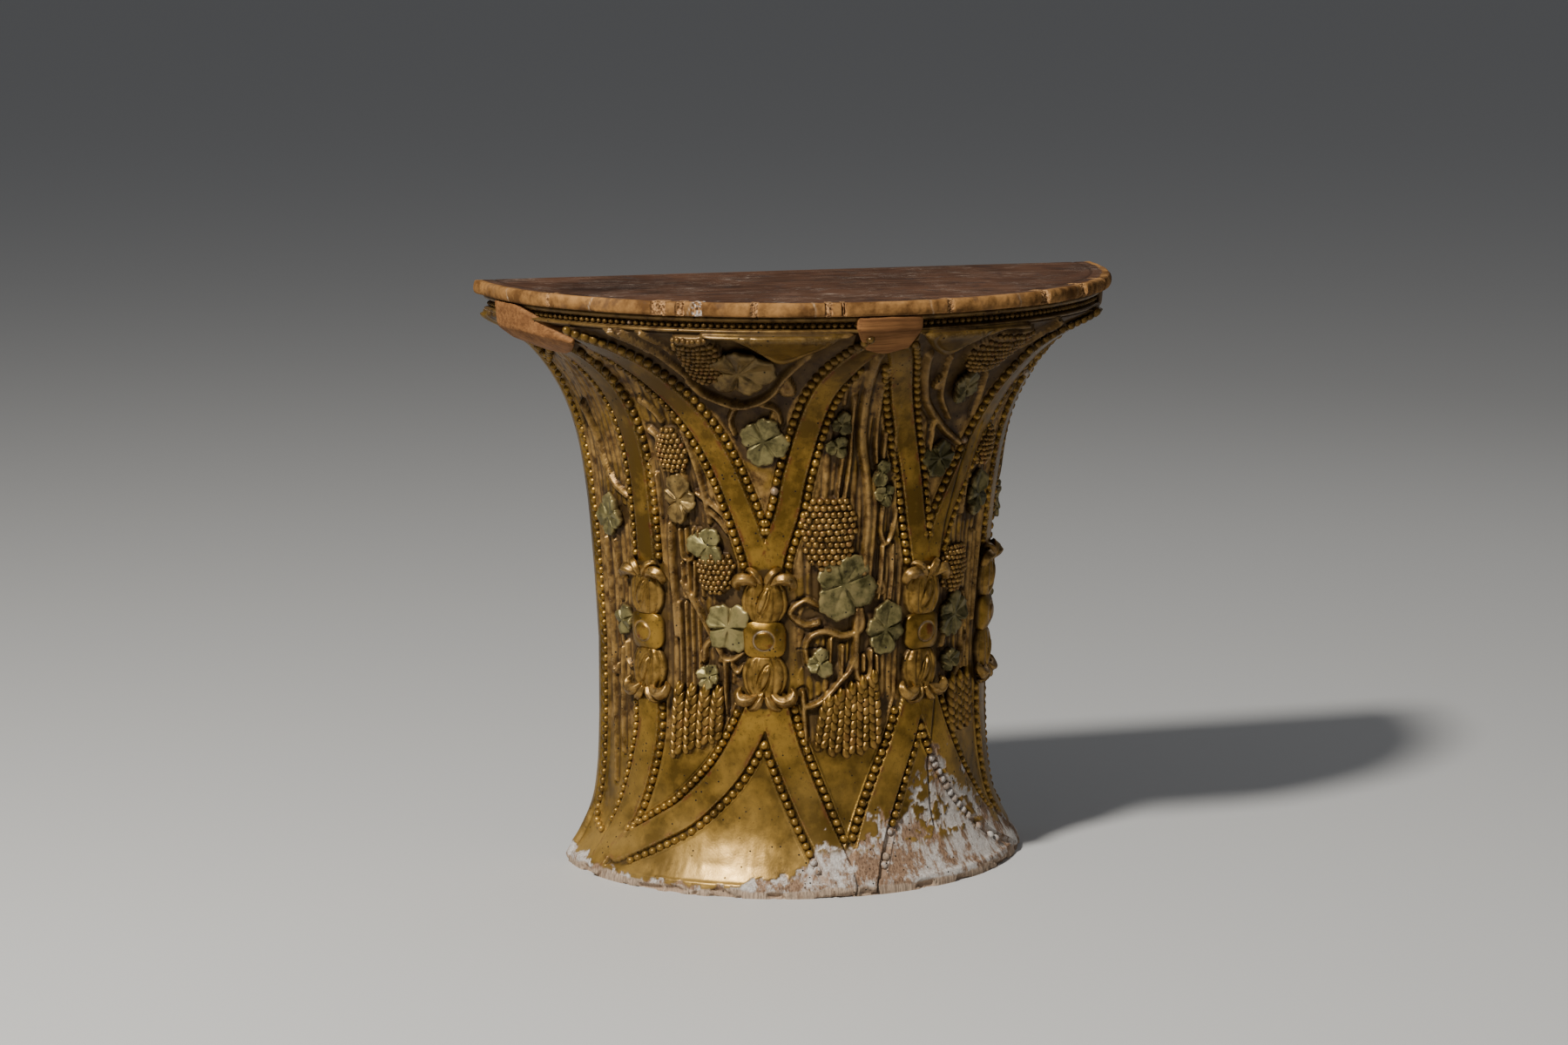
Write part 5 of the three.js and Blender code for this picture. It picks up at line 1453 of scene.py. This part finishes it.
def gilt_material():
    """Old gilding: gold, tarnished leaf, red clay and dust, over chalk and bare wood where it is lost."""
    n = Finish("old_gilding")
    wide, middle, fine = n.noise(14, 2), n.noise(70, 4, 0.6), n.noise(420, 3, 0.6)
    burnish, cavity, crest, bole, loss, leaf, tone, dark = (n.mask(name) for name in MASKS)
    height = n.add("ShaderNodeSeparateXYZ", "Z", {"Vector": n.place})

    gold = n.mix((wide * 0.6 + middle * 0.4).ramp(0.38, 0.62) + tone * 0.22, OLIVE_GOLD, BRIGHT_GOLD)
    matte = n.mix(middle.ramp(0.35, 0.65), MATTE_BROWN, MATTE_OCHRE)
    tarnish = (middle * 0.6 + wide * 0.4).ramp(0.4, 0.6) + tone * 0.25
    colour = n.mix(leaf, n.mix(burnish, matte, gold), n.mix(tarnish, LEAF_GREEN, LEAF_SILVER))
    speckle = n.noise(210, 4, 0.7).ramp(0.56, 0.66) * wide.ramp(0.38, 0.6, 0.15, 0.6)
    colour = n.mix(speckle * (1 - leaf), colour, GOLD_SPECKLE)
    colour = n.mix(middle.ramp(0.5, 0.62) * (bole * 0.85), colour, RED_CLAY)
    # Crests are lighter ochre: rubbed wear and painted highlight
    colour = n.mix(crest * fine.ramp(0.46, 0.7) * 0.5, colour, RUBBED_AND_HIGHLIT_CREST)
    dusty = (wide * 0.5 + middle * 0.5).ramp(0.5, 0.62) * n.blend(burnish, 0.33, 0.05)
    colour = n.mix(dusty, colour, DUST)
    # The gold grows paler and lighter towards the foot, in broad patches
    paler_near_foot = height.ramp(0.22, 0.04) * wide.ramp(0.34, 0.64, 0.1, 0.65)
    colour = n.mix(paler_near_foot * burnish.ramp(0.82, 0.98), colour, PALE_FOOT_GOLD)
    # Painted shade: near-black brown in hollows, where dirt also gathers, and painted shadow of the board
    # over the drum from 0.55 m up
    shade = (cavity.ramp(0.12, 0.9) * 0.82).most(height.ramp(0.55, 0.72, 0.0, 0.5))
    colour = n.mix(shade, colour, DIRT_AND_SHADE_BROWN)

    streaks = n.noise(1.0, 6, 0.72, n.stretched((34, 34, 12)))
    grain = n.noise(1.0, 4, 0.6, n.stretched((420, 420, 26)))
    stained = n.mix(grain.ramp(0.35, 0.6), STAINED_DEEP, STAINED_PALE)
    bare = n.mix(tone, stained, n.mix(grain.ramp(0.38, 0.62), tinted(BARE, 0.55), tinted(BARE, 1.25)))
    gesso = n.mix(fine.ramp(0.42, 0.58), tinted(GESSO, 0.72), GESSO)
    chalk = n.mix(streaks.ramp(0.46, 0.54).most(tone), gesso, bare)
    grime = n.noise(1.0, 5, 0.7, n.stretched((75, 75, 22))).ramp(0.54, 0.66) * 0.6
    chalk = n.mix(grime, chalk, CHALK_GRIME)
    # Where the gilding is lost, the chalk is browner in hollows: dirt and painted shade
    colour = n.mix(loss, colour, n.mix(cavity * 0.5, chalk, CHALK_HOLLOW))
    dark = dark.most(n.holes(0.0085, 0.18, 0.8, 22))
    colour = n.mix(dark, colour, SOOT)

    cover = loss.most(dark).most(dusty.most(shade * 0.8))
    metal = n.blend(leaf, n.blend(burnish, 0.72, 0.86), 0.6)
    metal = metal * (1 - cover.most(height.ramp(0.15, 0.04) * 0.5))
    rough = n.blend(burnish, 0.40, middle.ramp(0.3, 0.7, 0.29, 0.42))
    rough = n.blend(leaf, rough, 0.42).most(cover * 0.85)
    normal = n.bump((fine, 0.2, 0.0006), (middle, 0.22, 0.0012))
    return n.make(Base_Color=colour, Metallic=metal, Roughness=rough, Specular_IOR_Level=0.22, Normal=normal)


def wood_material(name, light, deep, along, scale=1.0):
    """Softwood with grain along one axis, knots of darker wood and dirt."""
    n = Finish(name)

    def stretched(across, lengthwise):
        return n.stretched(tuple((lengthwise if axis == along else across) * scale for axis in range(3)))

    grain = n.noise(2.4, 6, 0.65, stretched(70, 3.0))
    fibre = n.noise(1.6, 3, 0.6, stretched(260, 9.0))
    dirt = n.noise(9, 4, 0.6)
    colour = n.mix(grain.ramp(0.36, 0.62), deep, light)
    colour = n.mix(fibre.ramp(0.48, 0.66) * 0.5, colour, tinted(deep, 0.5))
    colour = n.mix(dirt.ramp(0.5, 0.68) * 0.45, colour, tinted(deep, 0.45))
    colour = n.mix(n.holes(0.011, 0.09, 0.3, 20), colour, SOOT)
    normal = n.bump((fibre, 0.4, 0.0007), (grain, 0.5, 0.0012))
    rough = dirt.ramp(0.3, 0.7, 0.62, 0.82)
    return n.make(Base_Color=colour, Roughness=rough, Specular_IOR_Level=0.12, Normal=normal)


def board_material():
    """Worn brown paint with pale streaks and scratches, an ochre edge, and torn wood where it is chipped."""
    n = Finish("worn_painted_board")
    grain = n.noise(2.2, 6, 0.62, n.stretched((2.2, 55, 55)))
    streak = n.noise(1.4, 4, 0.6, n.stretched((1.1, 160, 160)))
    patch, middle, fine = n.noise(7, 5, 0.62), n.noise(38, 4, 0.6), n.noise(300, 3, 0.6)
    paint = n.mix(patch.ramp(0.36, 0.62), PAINT_DEEP, PAINT_PALE)
    paint = n.mix(grain.ramp(0.5, 0.66) * 0.6, paint, PAINT_GRAIN)
    paint = n.mix(middle.ramp(0.56, 0.66) * 0.55, paint, PAINT_STAIN)
    paint = n.mix(streak.ramp(0.63, 0.68) * patch.ramp(0.42, 0.6) * 0.6, paint, PAINT_STREAK)
    scratch = scratches(n)
    paint = n.mix(scratch * 0.6, paint, PAINT_SCRATCH)
    ochre = n.mix(n.noise(26, 5, 0.65).ramp(0.38, 0.62), OCHRE_DEEP, OCHRE_PALE)
    ochre = n.mix(middle.ramp(0.55, 0.66) * 0.6, ochre, OCHRE_STAIN)
    edge = (n.mask("crest") + (middle - 0.5) * 0.9).ramp(0.35, 0.6)
    colour = n.mix(n.mask("bole") * 0.75, n.mix(edge, paint, ochre), JOINT_WOOD)
    torn = n.mix(n.holes(0.0045, 0.24, 0.75, 60), n.mix(fine.ramp(0.42, 0.58), TORN_DEEP, TORN_PALE), SOOT)
    colour = n.mix(n.mask("tone"), colour, torn)
    colour = n.mix(n.mask("loss") * 0.8, colour, GESSO)
    colour = n.mix(n.mask("cavity") * 0.85, colour, SOOT)
    colour = n.mix(n.holes(0.010, 0.09, 0.28, 16), colour, SOOT)
    normal = n.bump((fine, 0.3, 0.0006), (grain, 0.5, 0.0012), (scratch, -0.4, 0.0008))
    rough = n.blend(edge, patch.ramp(0.3, 0.7, 0.5, 0.7), 0.75)
    return n.make(Base_Color=colour, Roughness=rough, Specular_IOR_Level=0.04, Normal=normal)


def scratches(n):
    """Thin scratches in three slanting directions."""
    lines = None
    for turn, size in ((0.5, 10), (-0.25, 15), (1.9, 8)):
        cells = {"Vector": n.stretched((1.1, 17, 1), turn), "Scale": float(size)}
        far = n.add("ShaderNodeTexVoronoi", "Distance", cells, feature="DISTANCE_TO_EDGE")
        thin = far.ramp(0.022, 0.0) * n.noise(size * 1.3, 4, 0.7).ramp(0.52, 0.62)
        lines = lines.most(thin) if lines else thin
    return lines


def pale_floor():
    reach = 40
    mesh = bpy.data.meshes.new("floor")
    corners = [(-reach, -reach, 0), (reach, -reach, 0), (reach, reach, 0), (-reach, reach, 0)]
    mesh.from_pydata(corners, [], [(0, 1, 2, 3)])
    mesh.materials.append(Finish("pale_floor").make(Base_Color=(0.50, 0.50, 0.495), Roughness=0.55))
    floor = bpy.data.objects.new("floor", mesh)
    bpy.context.scene.collection.objects.link(floor)


def area_light(name, place, target, size, power, colour=(1, 1, 1)):
    light = bpy.data.lights.new(name, "AREA")
    light.shape = "DISK"
    light.size = size
    light.energy = power
    light.color = colour
    lamp = bpy.data.objects.new(name, light)
    lamp.location = place
    lamp.rotation_euler = (Vector(target) - Vector(place)).to_track_quat("-Z", "Y").to_euler()
    bpy.context.scene.collection.objects.link(lamp)


def studio():
    area_light("key", (-2.75, -2.15, 4.0), (0, 0, 0.35), 0.55, 475, (1, 0.965, 0.90))
    area_light("fill", (2.8, -3.2, 1.6), (0, 0, 0.4), 2.6, 6)
    area_light("back", (2.6, 2.2, 2.6), (0, 0, 0.5), 1.8, 8)
    world = bpy.data.worlds.new("studio")
    world.use_nodes = True
    tree = world.node_tree
    direction = tree.nodes.new("ShaderNodeTexCoord").outputs["Generated"]
    height = tree.nodes.new("ShaderNodeSeparateXYZ")
    tree.links.new(direction, height.inputs[0])
    ramp = tree.nodes.new("ShaderNodeMapRange")
    tree.links.new(height.outputs["Z"], ramp.inputs["Value"])
    for key, value in (("From Min", -0.1), ("From Max", 0.9), ("To Min", 0.06), ("To Max", 0.17)):
        ramp.inputs[key].default_value = value
    tree.links.new(ramp.outputs["Result"], tree.nodes["Background"].inputs["Strength"])
    tree.nodes["Background"].inputs["Color"].default_value = (0.93, 0.95, 1.0, 1)
    bpy.context.scene.world = world


# The photograph's camera, solved against the object's known sizes, with its place in metres
CAMERA_PLACE = (-1.50865, -4.77873, 1.30744)
CAMERA_RIGHT = (0.95751, -0.28840, 0)
CAMERA_UP = (0.04734, 0.15719, 0.98643)
CAMERA_BACK = (-0.28448, -0.94452, 0.16416)
CAMERA_LENS = 90.55
CAMERA_SENSOR = 36


def camera():
    data = bpy.data.cameras.new("camera")
    data.lens = CAMERA_LENS
    data.sensor_width = CAMERA_SENSOR
    data.sensor_fit = "HORIZONTAL"
    turn = Matrix((CAMERA_RIGHT, CAMERA_UP, CAMERA_BACK)).transposed()
    viewer = bpy.data.objects.new("camera", data)
    viewer.matrix_world = Matrix.Translation(CAMERA_PLACE) @ turn.to_4x4()
    bpy.context.scene.collection.objects.link(viewer)
    bpy.context.scene.camera = viewer


camera()
carve()
GRID_POINTS = on_drum(PHI[None, :], Z[:, None], relief)
GRID_POINTS[0, :, 2] = 0
GRID_POINTS[-1, :, 2] = LIP_HEIGHT * MM
GRID_NORMALS = grid_normals(GRID_POINTS)

gilt = gilt_material()
raw_wood = wood_material("old_raw_wood", (0.30, 0.20, 0.125), (0.13, 0.08, 0.05), 2)
block_wood = wood_material("repair_wood", (0.25, 0.115, 0.040), (0.13, 0.055, 0.019), 0, 0.9)
chance = np.random.default_rng(1785)
for number in range(SECTORS):
    shell_sector(number, gilt, raw_wood)
for carver in (beads, grapes, wheat, leaves, husks_and_bosses, moulding):
    carver(chance, gilt)
board(chance, board_material())
hewn_block("left_repair_block", LEFT_CORNERS, chance, block_wood, ["scroll_block_left"])
hewn_block("centre_repair_block", CENTRE_CORNERS, chance, block_wood, ["scroll_block_centre"])
hewn_block("right_corner_scroll", SCROLL_CORNERS, chance, gilt)
pale_floor()
studio()
